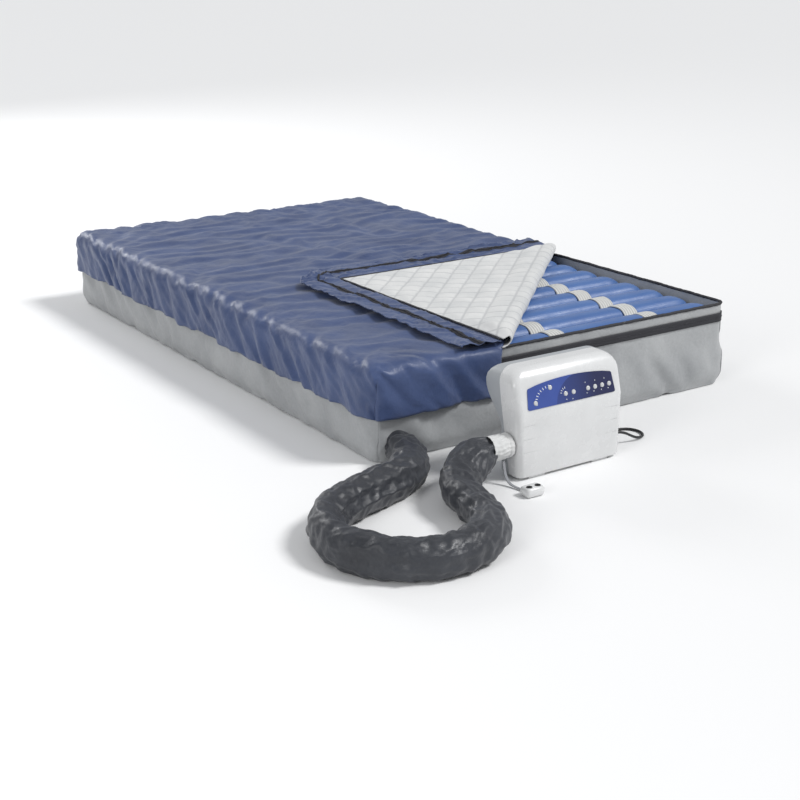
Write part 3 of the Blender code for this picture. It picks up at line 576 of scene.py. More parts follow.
def make_studio():
    world = bpy.data.worlds.new("studio")
    bpy.context.scene.world = world
    world.use_nodes = True
    background = world.node_tree.nodes["Background"]
    background.inputs["Color"].default_value = (0.95, 0.97, 1.0, 1)
    background.inputs["Strength"].default_value = 0.40
    key = add_light("key", "SUN", 2.1, Vector((0.50, -0.42, 0.76)))
    key.data.angle = math.radians(16)
    add_soft_light("fill", (-5.5, -3.0, 2.6), 85)
    add_soft_light("back", (-1.0, 5.5, 3.0), 110)
    bpy.context.scene.view_settings.view_transform = "Standard"
    s = Shader("pale floor", (0.92, 0.92, 0.92), 0.9)
    s.bump((s.noise(3, 2), 0.02, 0.01))
    through = s.node("ShaderNodeBsdfTransparent")
    facing = s.node("ShaderNodeNewGeometry").outputs["Backfacing"]
    mixed = s.node("ShaderNodeMixShader", {
        0: facing, 1: s.base.outputs[0], 2: through.outputs[0]})
    s.feed(s.tree.nodes["Material Output"].inputs["Surface"], mixed.outputs[0])
    corners = [(-60, -60, 0), (60, -60, 0), (60, 60, 0), (-60, 60, 0)]
    floor = mesh_object("floor", corners, [(0, 1, 2, 3)])
    floor.data.materials.append(s.material)


# Covers

def axis_lines(half, edge, step):
    """Grid lines across a panel, and how far each falls over its rounded edges."""
    flat = half - edge
    line = np.linspace(-flat, flat, round(2 * flat / step) + 1)
    turn = np.radians(np.arange(1, 7) * 15)
    out, fall = flat + edge * np.sin(turn), edge * (1 - np.cos(turn))
    return (np.concatenate([-out[::-1], line, out]),
            np.concatenate([fall[::-1], line * 0, fall]))


def box_sheet(half_x, half_y, corner, edge, depth, step):
    """A panel at Z = 0 with walls below it: points, faces, and whether each point is on a wall."""
    xs, fall_x = axis_lines(half_x, edge, step)
    ys, fall_y = axis_lines(half_y, edge, step)
    x, y = np.meshgrid(xs, ys, indexing="ij")
    z = -np.maximum(fall_x[:, None], fall_y[None, :])
    over_x = np.maximum(np.abs(x) - (half_x - corner), 0)
    over_y = np.maximum(np.abs(y) - (half_y - corner), 0)
    reach = np.hypot(over_x, over_y)
    pull = np.where(reach > 0, np.maximum(over_x, over_y) / np.maximum(reach, 1e-9), 1)
    x = x - np.sign(x) * over_x * (1 - pull)
    y = y - np.sign(y) * over_y * (1 - pull)
    panel = np.stack([x, y, z], axis=-1)
    rows, columns = x.shape
    index = np.arange(rows * columns).reshape(rows, columns)
    loop = np.concatenate([index[:-1, 0], index[-1, :-1], index[:0:-1, -1], index[0, :0:-1]])
    top = panel.reshape(-1, 3)[loop]
    count = round(depth / step)
    share = (np.arange(1, count + 1) / count)[:, None]
    wall = np.repeat(top[None], count, axis=0)
    wall[..., 2] = top[:, 2] + (-depth - top[:, 2]) * share
    points = np.concatenate([panel.reshape(-1, 3), wall.reshape(-1, 3)])
    faces = [face[::-1] for face in grid_faces(rows, columns)]
    numbers = np.arange(len(points))
    rings = [loop, *numbers[rows * columns:].reshape(count, -1)]
    for upper, lower in zip(rings, rings[1:]):
        quads = [upper, lower, np.roll(lower, -1), np.roll(upper, -1)]
        faces += np.stack(quads, axis=1).tolist()
    return points, faces, numbers >= rows * columns


def side_places(points, half_x, half_y):
    """For each side: distance inside its edge, place along it, its folds' lean, and its share."""
    x, y, _ = points.T
    sides = ((half_x + x, y, 1.0), (half_x - x, -y, -0.6),
             (half_y + y, -x, 0.7), (half_y - y, x, 0.6))
    for number, (inside, along, lean) in enumerate(sides):
        others = sides[2:] if number < 2 else sides[:2]
        nearest = np.minimum(others[0][0], others[1][0])
        yield number, np.maximum(inside, 0), along, lean, smooth(0.5 + (nearest - inside) / 0.05)


def side_folds(points, reach, seed, wide, narrow, level, sharp, patches, ragged=0.0):
    """Leaning folds of the cover that start inside each edge of the top and run down the side.

    Wide and narrow are (lean, width, length, height), and patches is (mean, swing, spacing along,
    spacing down) of the folds' strength. Ragged varies how far inside they start."""
    total = np.zeros(len(points))
    for number, inside, along, lean, mitre in side_places(points, HALF_X, HALF_Y):
        down = TOP_Z - points[:, 2] - inside
        edge = noise(along / 0.14, 0.3, seed=seed + 40 + number) - 0.5
        relief = -level
        for step, (turn, width, length, height) in zip((0, 10), (wide, narrow)):
            u = along + turn * lean * down
            relief = relief + height * folds(u, down, width, length, seed + step + number, sharp)
        mean, swing, spacing, drop = patches
        patchy = mean + swing * noise(along / spacing, down / drop, seed=seed + 30 + number)
        mask = mitre * smooth(1 - inside / (reach * (1 + ragged * edge)))
        total += mask * np.clip(patchy, 0, 2) * relief
    return total


def inside_edge(x, y, corner):
    """Distance inside the nearest side of a box with this corner."""
    return np.minimum(corner.x - np.abs(x), corner.y - np.abs(y))


def near_flap(x, y):
    """1 where the turned-back corner lies on the cover, 0 away from it."""
    return smooth((x + 0.46) / 0.10) * smooth((0.07 - y) / 0.10)


def make_top_cover(navy):
    """Navy cover: a top panel with a wrinkled skirt, cut off along the fold."""
    points, faces, _ = box_sheet(HALF_X - 0.001, HALF_Y - 0.001, 0.050, 0.037, SKIRT_DEPTH, 0.018)
    points[:, 2] += TOP_Z - 0.001
    obj = mesh_object("top_cover_cloth", points, faces)
    x, y, z = points.T
    calm = 1 - 0.9 * near_flap(x, y) * (z > TOP_Z - 0.01)
    relief = side_folds(points, 0.26, 3, (1.0, 0.095, 0.60, 0.0125), (0.6, 0.060, 0.40, 0.0065),
                        0.0055, 1.3, (0.75, 0.5, 0.40, 0.5), ragged=0.5)
    swell = folds(y + 0.05 * noise(x / 0.3, y / 0.3, seed=8), x, 0.085, 0.80, 9, 1.2)
    relief = relief + smooth(inside_edge(x, y, COVER_HIGH) / 0.15) * (0.0045 * swell - 0.0015)
    write_points(obj, points + read_points(obj, "normal") * (relief * calm)[:, None])
    settle(obj, points, 0.022, 0.24, 0.020, 2.5)
    subdivide(obj)
    points = read_points(obj)
    x, y, z = points.T.copy()
    share = smooth((TOP_Z - 0.03 - z) / (SKIRT_DEPTH - 0.03))
    calm = 1 - 0.85 * near_flap(x, y) * (1 - smooth((TOP_Z - 0.04 - z) / 0.02))
    relief = side_folds(points, 0.24, 103, (1.2, 0.042, 0.26, 0.0046), (0.7, 0.026, 0.14, 0.0024),
                        0.0014, 1.6, (0.7, 1.1, 0.30, 0.3))
    ripple = folds(y + 0.05 * noise(x / 0.35, y / 0.2, seed=18), x, 0.042, 0.55, 19, 1.5)
    patchy = np.clip(0.7 + 0.9 * noise(x / 0.4, y / 0.3, seed=20), 0, 2)
    ripple = patchy * (0.0030 * ripple - 0.0006)
    relief = relief + smooth(inside_edge(x, y, COVER_HIGH) / 0.10) * ripple
    relief = relief + 0.0006 * noise(x / 0.04, y / 0.025, z / 0.04, seed=12)
    flare = 0.006 * share
    points += read_points(obj, "normal") * (relief * calm + flare)[:, None]
    around = np.arctan2(y / HALF_Y, x / HALF_X) * 3.2
    hem = 0.010 * noise(around * 1.7, 0.5, seed=14) + 0.006 * noise(around * 7, 1.5, seed=15)
    points[:, 2] += share * hem
    ceiling = np.where(near_flap(x, y) > 0.3, 0.2590, 0.2700)
    points[:, 2] = np.minimum(points[:, 2], ceiling)
    write_points(obj, points)
    cut_away(obj, [((FOLD_START.x, FOLD_START.y, 0), -FOLD_INWARD)])
    add_piece(obj, navy, "navy_cloth", replaces=["top_cover"], thick=0.0016)


def at_opened_sides(x, y):
    """1 at the sides that the folded corner leaves open, 0 away from them."""
    return smooth((x - y - 0.70) / 0.07)


def make_base_cover(silver):
    """Silver-grey tray of cloth under the skirt, its sides hanging in soft diagonal drapes."""
    wide, long, tall = BASE_HIGH
    points, faces, wall = box_sheet(wide, long, CORNER_ROUND, 0.012, tall, 0.020)
    points[:, 2] *= -1
    points[:, 2] += 0.0012
    obj = mesh_object("base_cover_cloth", points, [face[::-1] for face in faces])
    x, y, z = points.T
    relief = np.zeros(len(x))
    for number, inside, along, lean, mitre in side_places(points, wide, long):
        u = along + lean * (tall - z)
        big = folds(u, z, 0.13, 0.60, 61 + number, 1.1)
        middle = folds(u + 0.3 * z, z, 0.055, 0.30, 71 + number)
        relief += mitre * smooth(1 - inside / 0.05) * (0.0190 * big + 0.0085 * middle - 0.0065)
    low = smooth(z / 0.02) * smooth((0.14 - z) / 0.05)
    relief = relief * (0.15 + 0.85 * low) + 0.004 * low * wall
    relief = np.where(wall, np.maximum(relief, -0.003), 0)
    relief = relief * (1 - 0.6 * smooth((x - 0.3) / 0.1) * (1 - low))
    opened = at_opened_sides(x, y)
    relief = relief * (1 - 0.80 * opened * smooth((z - 0.105) / 0.04))
    base = points.copy()
    points += read_points(obj, "normal") * relief[:, None]
    write_points(obj, points)
    cap = 0.015 * (1 - 0.94 * opened * smooth((z - 0.12) / 0.05))
    settle(obj, base, 0.02, 0.28, cap, 2.0)
    subdivide(obj)
    points = read_points(obj)
    x, y, z = points.T.copy()
    opened = at_opened_sides(x, y)
    share = np.where(inside_edge(x, y, BASE_HIGH) < 0.011, z / tall, 0)
    rim = smooth((share - 0.75) / 0.25) * opened
    points[:, 2] += rim * 0.009 - 0.024 * (1 - opened) * smooth((z - 0.18) / 0.05)
    points[:, 2] = np.maximum(points[:, 2], 0.0012)
    write_points(obj, points)
    add_piece(obj, silver, "silver_cloth", replaces=["base_cover"], thick=0.0025)


# Air cells and straps

def cell_top(offset, half, crown=0.046):
    """How far a cell's face falls below its crest at a distance from its centre line."""
    across = np.clip(np.abs(offset) / half, 0, 1)
    return crown * (1 - np.sqrt(np.maximum(0, 1 - across ** 2.4)))


def make_cell(index, film):
    """One inflated cell: a boxy tube with a crowned face and pinched, puckered ends."""
    node = f"air_cell_{index + 1:02d}"
    low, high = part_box(node)
    near_opening = low.y < APEX.y + 0.12
    sides, steps = (48, 110) if near_opening else (28, 30)
    half = (high.y - low.y) / 2 + 0.0012
    centre, tall = (low + high) / 2, (high.z - low.z) / 2
    turn, power = circle(sides), 2 / 3
    side = np.sign(np.cos(turn)) * np.abs(np.cos(turn)) ** power * half
    up = np.sign(np.sin(turn)) * np.abs(np.sin(turn)) ** power * tall
    up = np.where(up > 0, np.minimum(up, tall - cell_top(side, half) * (up > tall * 0.5)), up)
    bend = (1 - np.cos(np.linspace(0, math.pi, steps))) / 2
    xs = low.x + (high.x - low.x) * (0.35 * bend + 0.65 * np.linspace(0, 1, steps))
    from_end = np.minimum(xs - low.x, high.x - xs)
    swell = np.sqrt(1 - np.clip(1 - from_end / 0.055, 0, 1) ** 2)
    width = 0.10 + 0.90 * swell
    height = 0.62 + 0.38 * np.sqrt(1 - np.clip(1 - from_end / 0.070, 0, 1) ** 2)
    grid = np.stack(np.broadcast_arrays(xs[:, None], centre.y + side * width[:, None],
                                        centre.z + up * height[:, None]), axis=-1)
    pucker = np.clip(1 - from_end / 0.09, 0, 1)[:, None] ** 1.5
    around = np.arange(sides)[None] / sides * 14
    crease = folds(around, xs[:, None], 1.0, 0.3, 200 + index, 1.2) * pucker
    lazy = noise(xs[:, None] / 0.16, around / 2.2, index * 1.7, seed=5) * 0.0010
    inward = 0.0045 * crease * (swell[:, None] > 0.1) - lazy
    grid[..., 2] -= np.sign(up)[None] * inward * (np.abs(up) > tall * 0.4)[None]
    for x in STRAP_PLACES:
        press = np.exp(-((xs - x) / 0.030) ** 2)[:, None] * (up > tall * 0.4)[None]
        grid[..., 2] -= 0.0028 * press
    obj = grid_object(f"cell_film_{index + 1:02d}", grid, wrap=True, caps=True)
    add_piece(obj, film, "cell_blue", replaces=[node])


def middle_of(node):
    low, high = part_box(node)
    return (low + high) / 2


def cell_centres():
    """Each cell's middle line, from the near end of the mattress."""
    return [sum(corner.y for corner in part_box(f"air_cell_{number:02d}")) / 2
            for number in range(1, CELL_COUNT + 1)]


def make_seam_highlights(material):
    """Pale welded seams in the grooves between cells: their pale colour paints the cells' edge
    highlights.
    """
    centres = cell_centres()
    low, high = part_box("air_cell_01")
    section = ((-0.0030, -0.010), (-0.0022, -0.002), (-0.0008, 0.0), (0.0008, 0.0),
               (0.0022, -0.002), (0.0030, -0.010))
    points, faces = [], []
    xs = np.linspace(low.x + 0.030, high.x - 0.030, 160)
    for number, (a, b) in enumerate(zip(centres, centres[1:])):
        y = (a + b) / 2 + 0.0012 * noise(xs / 0.07, number * 3.1, seed=31)
        crest = 0.2135 + 0.0022 * noise(xs / 0.05, number * 2.3, seed=32)
        faces += grid_faces(len(section), len(xs), start=len(points))
        for dy, dz in section:
            points += np.stack([xs, y + dy, crest + dz], axis=-1).tolist()
    add_piece(mesh_object("cell_seam_highlights", points, faces), material, "strap_white", thick=0.0006)


def make_straps(tape):
    """Ribbons looped over the cells and tucked down into the grooves."""
    centres = np.array(cell_centres())
    low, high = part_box("air_cell_01")
    half = (high.y - low.y) / 2 + 0.0012
    ys = np.arange(centres[0] - 0.040, centres[-1] + 0.040, 0.0025)
    nearest = np.argmin(np.abs(ys[:, None] - centres[None]), axis=1)
    offset = ys - centres[nearest]
    crown = np.cos(math.pi * offset / (centres[1] - centres[0]))
    drop = np.minimum(cell_top(offset, half * 0.93, 0.040), 0.021)
    across = np.linspace(-1, 1, 13)[None]
    rng = np.random.default_rng(17)
    for number, x in enumerate(STRAP_PLACES, start=1):
        shift = np.interp(ys, centres, rng.uniform(-0.004, 0.004, len(centres)))
        skew = rng.uniform(-0.10, 0.10, len(centres))[nearest]
        lift = rng.uniform(0.0, 0.0022, len(centres))[nearest] * crown
        rumple = 0.0009 * noise(across * 2.5, ys[:, None] / 0.02, number, seed=41)
        height = (high.z + lift - drop)[:, None] + rumple - 0.0016 * np.abs(across) ** 3
        place = x + across * HALF_STRAP + (shift + skew * offset)[:, None]
        grid = np.stack(np.broadcast_arrays(place, ys[:, None], height), axis=-1)
        obj = grid_object(f"strap_ribbon_{number}", grid[:, ::-1])
        add_piece(obj, tape, "strap_white", replaces=[f"cell_strap_{number}"], thick=0.0014)


# The turned-back corner

def fold_point(along, inward, height):
    """Points from distances along the fold, towards the flap's tip, and up."""
    x = FOLD_START.x + FOLD_ALONG.x * along + FOLD_INWARD.x * inward
    y = FOLD_START.y + FOLD_ALONG.y * along + FOLD_INWARD.y * inward
    return np.stack(np.broadcast_arrays(x, y, height), axis=-1)


def leg_planes(margin):
    """Planes that trim a sheet to the flap's two legs and the mattress's two sides."""
    return [((APEX.x - margin, 0, 0), (-1, 0, 0)), ((0, APEX.y + margin, 0), (0, 1, 0)),
            ((0, FOLD_START.y + 0.005, 0), (0, -1, 0)), ((HALF_X - 0.005, 0, 0), (1, 0, 0))]


def make_flap(lining, navy):
    """Quilted lining that rolls out over the fold, and the navy cloth beneath it."""
    profile = [
        (0.030, 0.2425), (0.018, 0.2430), (0.006, 0.2436), (-0.009, 0.2470), (-0.0175, 0.2560),
        (-0.0185, 0.2670), (-0.0120, 0.2765), (0.002, 0.2825), (0.022, 0.2842), (0.050, 0.2815),
        (0.090, 0.2765), (0.150, 0.2730), (0.250, 0.2710), (0.400, 0.2695), (0.600, 0.2685)]
    base, floor, step = 0.2440, 0.2660, 0.0058
    line = smooth_route([(inward, 0.0, height) for inward, height in profile], step)
    inward, height = line[:, :1], line[:, 2:]
    distance = run_length(line)[:, None] + 0.060
    along = np.linspace(-0.03, FOLD_LENGTH + 0.03, round(FOLD_LENGTH / step))[None, :]
    rolled = smooth((0.12 - np.abs(distance - 0.14)) / 0.06)
    height = base + (height - base) * (1 + 0.10 * noise(along / 0.17, 0.3, seed=51) * rolled)
    inward = inward - rolled * 0.003 * noise(along / 0.12, 0.7, seed=52) * (inward < 0.05)
    puffs = [np.abs(np.sin(math.pi * place / QUILT_PITCH)) ** 0.45
             for place in (along, inward - QUILT_START)]
    quilt = 0.0065 * puffs[0] * puffs[1] - 0.0030
    stretch = 0.0012 * folds(along, distance, 0.030, 0.15, 53) * rolled
    lazy = 0.0036 * noise(along / 0.13, distance / 0.11, seed=54)
    tip = FOLD_LENGTH / 2
    settled = smooth((tip - np.abs(along - tip) - inward) / 0.06)
    upper = distance > 0.13
    height = height + np.where(upper, quilt + stretch + lazy, stretch) * settled
    lifted = floor + (height - floor) * (0.25 + 0.75 * settled)
    height = np.where(upper, np.maximum(floor, lifted), height)
    obj = grid_object("quilted_lining", fold_point(along, inward, height))
    cut_away(obj, leg_planes(-0.006))
    add_piece(obj, lining, "lining_white", body=None, thick=0.0028)
    fold_point(0.5, 0.0, 0.2450).tolist()
    fold_point(0.5, 0.0, 0.2620).tolist()
    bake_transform(obj)
    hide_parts("corner_flap")
    inward = np.arange(0.003, FOLD_LENGTH / 2 + 0.01, 0.016)[:, None]
    height = 0.2625 + 0.0005 * noise(along / 0.06, inward / 0.06, seed=55)
    back = grid_object("flap_navy_back", fold_point(along, inward, height)[:, ::-1])
    cut_away(back, leg_planes(-0.002))
    add_piece(back, navy, "navy_cloth", FLAP, thick=0.0012)


SKIRT_Z = 0.2630
ZIP_ACROSS = 0.062
TOOTH_PITCH = 0.0042
ZIP_Z = 0.205
SKIRT_START = {"foot": 0.0, "side": 0.006}


def add_skirt_piece(side, obj, material, slot, gathered=False, **sheet):
    """Set a piece on its skirt, with a mesh of its own."""
    add_piece(obj, material, slot, f"{side}_skirt_body", **sheet)
    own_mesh(obj)


def skirt_height(across, along, seed):
    """Height of a turned-back skirt strip above the cover: a few long folds and crumples."""
    long = folds(across + 0.15 * noise(along / 0.2, 0.2, seed=seed), along, 0.055, 0.50, seed, 1.2)
    cross = folds(along + 0.8 * across, across, 0.060, 0.16, seed + 1)
    small = folds(along - 0.5 * across, across, 0.026, 0.08, seed + 2)
    return SKIRT_Z + smooth(across / 0.015) * (0.0078 * long + 0.0042 * cross + 0.0014 * small)


def skirt_reach(along, seed):
    """Distance from the flap's edge to the skirt's hem."""
    broad = 0.010 * noise(along / 0.18, 0.4, seed=seed)
    return 0.122 + broad + 0.004 * noise(along / 0.05, 0.9, seed=seed)


def zip_line(along, seed):
    """Distance from the flap's edge to the middle of the zip."""
    return ZIP_ACROSS + 0.006 * noise(along / 0.16, 0.1, seed=seed + 7)


def zip_teeth(places, radius, swing):
    """Radius of a zip's row of teeth at places along it."""
    return (radius + swing * np.sign(np.sin(places * 2 * math.pi / TOOTH_PITCH)))[:, None]


def strip_place(side, along, across, height):
    """Points of the foot skirt ("foot") or side skirt ("side"), from the flap's tip."""
    if side == "foot":
        return np.stack(np.broadcast_arrays(APEX.x - across, APEX.y - along, height), axis=-1)
    return np.stack(np.broadcast_arrays(APEX.x + along, APEX.y + across, height), axis=-1)


def make_skirt_strip(side, navy, tape, seed):
    """One turned-back skirt strip: zip, hem piping, welt with painted shadow, gathered corner."""
    facing = slice(None, None, 1 if side == "foot" else -1)
    along = np.linspace(SKIRT_START[side], LEG - 0.005, 200)[:, None]
    share = np.linspace(0, 1, 34)[None, :]
    across = 0.0012 + (skirt_reach(along, seed) - 0.0012) * share
    grid = strip_place(side, along, across, skirt_height(across, along, seed))
    obj = grid_object(f"{side}_skirt_cloth", grid[:, facing])
    add_skirt_piece(side, obj, navy, "navy_cloth", thick=0.0014, offset=0)
    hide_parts(f"flap_{side}_skirt")
    ribbon = zip_line(along, seed) + np.linspace(-0.008, 0.008, 5)[None, :]
    strip = strip_place(side, along, ribbon, skirt_height(ribbon, along, seed) + 0.0014)
    obj = grid_object(f"{side}_skirt_zip_tape", strip[:, facing])
    add_skirt_piece(side, obj, tape, "black_plastic", thick=0.0008, offset=1)
    dense = np.linspace(SKIRT_START[side], LEG - 0.006, 620)
    centre = zip_line(dense, seed)
    path = strip_place(side, dense, centre, skirt_height(centre, dense, seed) + 0.0030)
    obj = tube(f"{side}_skirt_zip_teeth", path, zip_teeth(dense, 0.0017, 0.0007), 6)
    add_skirt_piece(side, obj, tape, "black_plastic")
    hem = skirt_reach(dense, seed)
    path = strip_place(side, dense, hem, skirt_height(hem, dense, seed))
    add_skirt_piece(side, tube(f"{side}_skirt_piping", path, 0.0022, 8), navy, "navy_cloth")
    # The welt along the lining's edge is near-black, darker than the navy edging it stands for:
    # painted shade for the shadow line between lining and skirt.
    height = 0.2665 + 0.0012 * noise(dense / 0.05, 0.6, seed=seed + 9)
    path = strip_place(side, np.linspace(0.006, LEG - 0.014, len(dense)), -0.006, height)
    add_piece(tube(f"{side}_flap_welt_shadow", path, 0.0032, 8), tape, "navy_cloth", FLAP)
    make_gathered_corner(side, navy, tape, seed)


def make_gathered_corner(side, navy, tape, seed):
    """The skirt's gathers round the flap's tip."""
    turn = np.radians(np.linspace(0, 47, 26))[:, None]
    share = np.linspace(0, 1, 30)[None, :]
    reach = skirt_reach(np.zeros(1), seed)[0] * (1 - 0.42 * np.sin(turn) ** 1.2)
    radius = 0.004 + (reach - 0.004) * share
    across, along = radius * np.cos(turn), -radius * np.sin(turn)
    pleat = 0.0065 * (0.5 + 0.5 * np.sin(turn * 17 + 0.8)) * smooth(turn / 0.12)
    height = skirt_height(radius, along, seed) + pleat * smooth(share * 3)
    grid = strip_place(side, along, across, height)
    start = SKIRT_START[side]
    if start:
        first = skirt_height(radius[:1], start, seed)
        grid = np.concatenate([strip_place(side, start, radius[:1], first), grid])
    obj = grid_object(f"{side}_skirt_gather", grid[::-1] if side == "foot" else grid)
    add_skirt_piece(side, obj, navy, "navy_cloth", True, thick=0.0014, offset=0)
    hem = tube(f"{side}_gather_piping", grid[:, -1], 0.0022, 8)
    add_skirt_piece(side, hem, navy, "navy_cloth", True)
    middle = grid[:, int(grid.shape[1] * 0.52)] + (0, 0, 0.002)
    bead = tube(f"{side}_gather_zip", middle, 0.0034, 8)
    add_skirt_piece(side, bead, tape, "black_plastic", True)


def make_base_zip(tape):
    """Zip along the base cover's opened sides, from the fold's far end round to its near end."""
    x, y, r = BASE_HIGH.x + 0.0022, BASE_HIGH.y + 0.0022, CORNER_ROUND
    turn = np.radians(np.linspace(0, -90, 14))
    corner = np.stack([x - r + r * np.cos(turn), -y + r + r * np.sin(turn)], axis=-1)
    plan = np.concatenate([[[x, APEX.y - 0.002], [x, -0.6]], corner,
                           [[0.2, -y], [APEX.x + 0.004, -y]]])
    flat = np.concatenate([plan, np.full((len(plan), 1), ZIP_Z)], axis=1)
    lengths = run_length(flat)
    places = np.linspace(0, lengths[-1], 900)
    path = np.stack([np.interp(places, lengths, flat[:, i]) for i in range(3)], axis=1)
    rows = np.stack([path + (0, 0, dz) for dz in (0.013, 0.006, 0.0, -0.006, -0.013)])
    ribbon = grid_object("base_zip_tape", rows)
    add_piece(ribbon, tape, "black_plastic", thick=0.0008, offset=1)
    teeth = tube("base_zip_teeth", path, zip_teeth(places, 0.0015, 0.0006), 6)
    add_piece(teeth, tape, "black_plastic")
    wander = 0.0034 + 0.0012 * noise(places / 0.05, 0.2, seed=91)[:, None]
    rim = path + tube_frames(path)[0] * wander + (0, 0, 0.0388)
    rim[:, 2] += 0.0014 * noise(places / 0.07, 0.7, seed=92)
    gathers = noise(places[:, None] / 0.012, np.arange(10)[None] * 0.6, seed=93)
    binding = tube("base_rim_binding", rim, 0.0043 + 0.0008 * gathers, 10)
    add_piece(binding, tape, "black_plastic")


# Hose, tether and mains cord

def make_hose(cloth, white):
    """Wrinkled sleeve over a pair of air tubes, gathered at both of its ends."""
    path = smooth_route(HOSE_ROUTE, 0.0085, (0, -1, 0), (1, 0, 0))
    s = run_length(path)[:, None]
    sides = 52
    turn = circle(sides)[None]
    x, y = np.cos(turn), np.sin(turn)
    lobes = 0.0036 * np.cos(2 * (turn - 1.5 * s - 0.35))
    long = crests(noise(1.35 * x + s * 1.1, 1.35 * y, s / 0.42, seed=101), 1.4)
    ring = crests(noise(s / 0.055 + 0.6 * x, y * 1.1, x * 1.1, seed=103), 1.5)
    fine = crests(noise(s / 0.020 + x, y * 3, x * 3, seed=105), 1.3)
    bend = np.gradient(headings(path), axis=0) / np.maximum(np.gradient(s[:, 0]), 1e-6)[:, None]
    side, up = tube_frames(path)
    towards = side[:, None] * x[..., None] + up[:, None] * y[..., None]
    squeezed = np.clip((towards * bend[:, None]).sum(-1) / 6, -0.3, 1)
    radius = 0.0395 + lobes + 0.0075 * long + (0.0038 + 0.0035 * squeezed) * ring + 0.0016 * fine
    neck_in = 0.62 + 0.38 * smooth(s / 0.05)
    neck_out = 0.70 + 0.30 * smooth((s[-1, 0] - s) / 0.055)
    radius = np.minimum(radius * neck_in * neck_out, 0.0545)
    grid = tube_grid(path, radius, sides)
    height = grid[..., 2]
    pressed = 0.0012 + 0.0006 * fine + 0.9 * np.maximum(height - 0.0012, 0)
    grid[..., 2] = np.where(height < 0.012, pressed, height)
    obj = grid_object("hose_sleeve", grid, wrap=True, caps=True)
    settle(obj, grid.reshape(-1, 3), 0.045, 0.30, 0.006, bending=1.0)
    subdivide(obj)
    points = read_points(obj)
    points[:, 2] = np.maximum(points[:, 2], 0.0008)
    write_points(obj, points)
    add_piece(obj, cloth, "hose_grey", replaces=["air_hose"])
    cuff = make_cuff(white)
    make_hose_collar(cloth)


def make_cuff(white):
    """White cloth cuff, tied round the connector."""
    low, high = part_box("air_connector")
    centre, rings, sides = (low + high) / 2, 40, 72
    path = np.full((rings, 3), centre)
    path[:, 0] = np.linspace(low.x - 0.014, high.x - 0.004, rings)
    turn = circle(sides)[None]
    share = np.linspace(0, 1, rings)[:, None]
    gather = np.abs(np.sin(turn * 9 + 2 * noise(share * 2, turn * 0, seed=111)))
    radius = (high.z - low.z) / 2 + 0.0024
    radius = radius + 0.0030 * gather * (0.4 + 0.6 * np.sin(math.pi * share))
    radius += 0.0018 * noise(share * 5, np.cos(turn) * 2, np.sin(turn) * 2, seed=112)
    radius += 0.004 * smooth((0.16 - share) / 0.16)
    radius -= 0.0025 * np.exp(-((share - 0.80) / 0.05) ** 2)
    cuff = grid_object("hose_cuff", tube_grid(path, radius, sides)[:, ::-1], wrap=True)
    return add_piece(cuff, white, "strap_white", thick=0.0012)


def make_hose_collar(cloth):
    """Gathered collar where the hose leaves the base cover."""
    x, y, z = HOSE_ROUTE[0]
    turn = circle(96)[None]
    share = np.linspace(0, 1, 16)[:, None]
    pleat = 0.5 + 0.5 * np.sin(turn * 9 + 1.2 * np.sin(turn * 2))
    radius = 0.0265 + 0.0125 * (1 - share) + 0.0050 * pleat * share * (1 - share) * 4
    height = np.maximum(z + radius * np.sin(turn), 0.0016)
    grid = np.stack(np.broadcast_arrays(x + radius * np.cos(turn), y - 0.0005 - 0.030 * share,
                                        height), axis=-1)
    collar = grid_object("hose_collar", grid, wrap=True)
    add_piece(collar, cloth, "hose_grey", thick=0.0012, offset=1)


def make_tether(webbing, white, dark):
    """Flat webbing from the connector to the dust cap, and the cap itself."""
    path = smooth_route(TETHER_ROUTE, 0.0025, (0, 0, -1), (0, -1, 0))
    side = np.broadcast_to([1.0, 0.0, 0.0], path.shape)
    up = np.cross(side, headings(path))
    wide, thin = TETHER_WIDTH / 2, 0.0009
    outline = [(-1, -1), (-0.6, -1.15), (0, -1.2), (0.6, -1.15), (1, -1), (1.04, 0),
               (1, 1), (0.6, 1.15), (0, 1.2), (-0.6, 1.15), (-1, 1), (-1.04, 0)]
    grid = np.stack([path + side * a * wide + up * b * thin for a, b in outline], axis=1)
    obj = grid_object("cap_webbing", grid, wrap=True, caps=True)
    add_piece(obj, webbing, "webbing_grey", replaces=["cap_tether"])
    cap = frame["nodes"]["dust_cap"]
    paint(cap, white)
    centre = middle_of("dust_cap")
    profile = [(0.0052, -0.0095), (0.0052, 0.0006), (0.0060, 0.0013), (0.0072, 0.0013),
               (0.0074, 0.0006), (0.0074, -0.0095)]
    for number, aside in enumerate((-0.0125, 0.0125), start=1):
        place = (centre.x + aside, centre.y - 0.004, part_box("dust_cap")[1].z)
        ring = turned(f"cap_gasket_{number}", profile, place, (0, 0, 1), 32)
        add_piece(ring, dark, "black_plastic")


def turned(name, profile, centre, axis, steps):
    """A profile of (radius, height) turned about an axis through the centre."""
    turn = circle(steps)
    profile = np.array(profile, float)
    radius, height = profile[:, :1], profile[:, 1:]
    grid = np.stack(np.broadcast_arrays(radius * np.cos(turn), radius * np.sin(turn), height),
                    axis=-1)
    place = Vector((0, 0, 1)).rotation_difference(Vector(axis)).to_matrix()
    obj = grid_object(name, grid @ np.array(place).T + np.array(centre), wrap=True)
    if radius[0] < 1e-6 and radius[-1] < 1e-6:
        bm = bmesh.new()
        bm.from_mesh(obj.data)
        bmesh.ops.remove_doubles(bm, verts=bm.verts, dist=1e-6)
        bm.to_mesh(obj.data)
        bm.free()
    return obj


def around_coil(radius, turns, height):
    """Points round the coil's centre, from its nearest side."""
    angle = -math.pi / 2 - turns * 2 * math.pi
    return np.stack([COIL_CENTRE[0] + radius * np.cos(angle),
                     COIL_CENTRE[1] + radius * np.sin(angle), height], axis=-1)


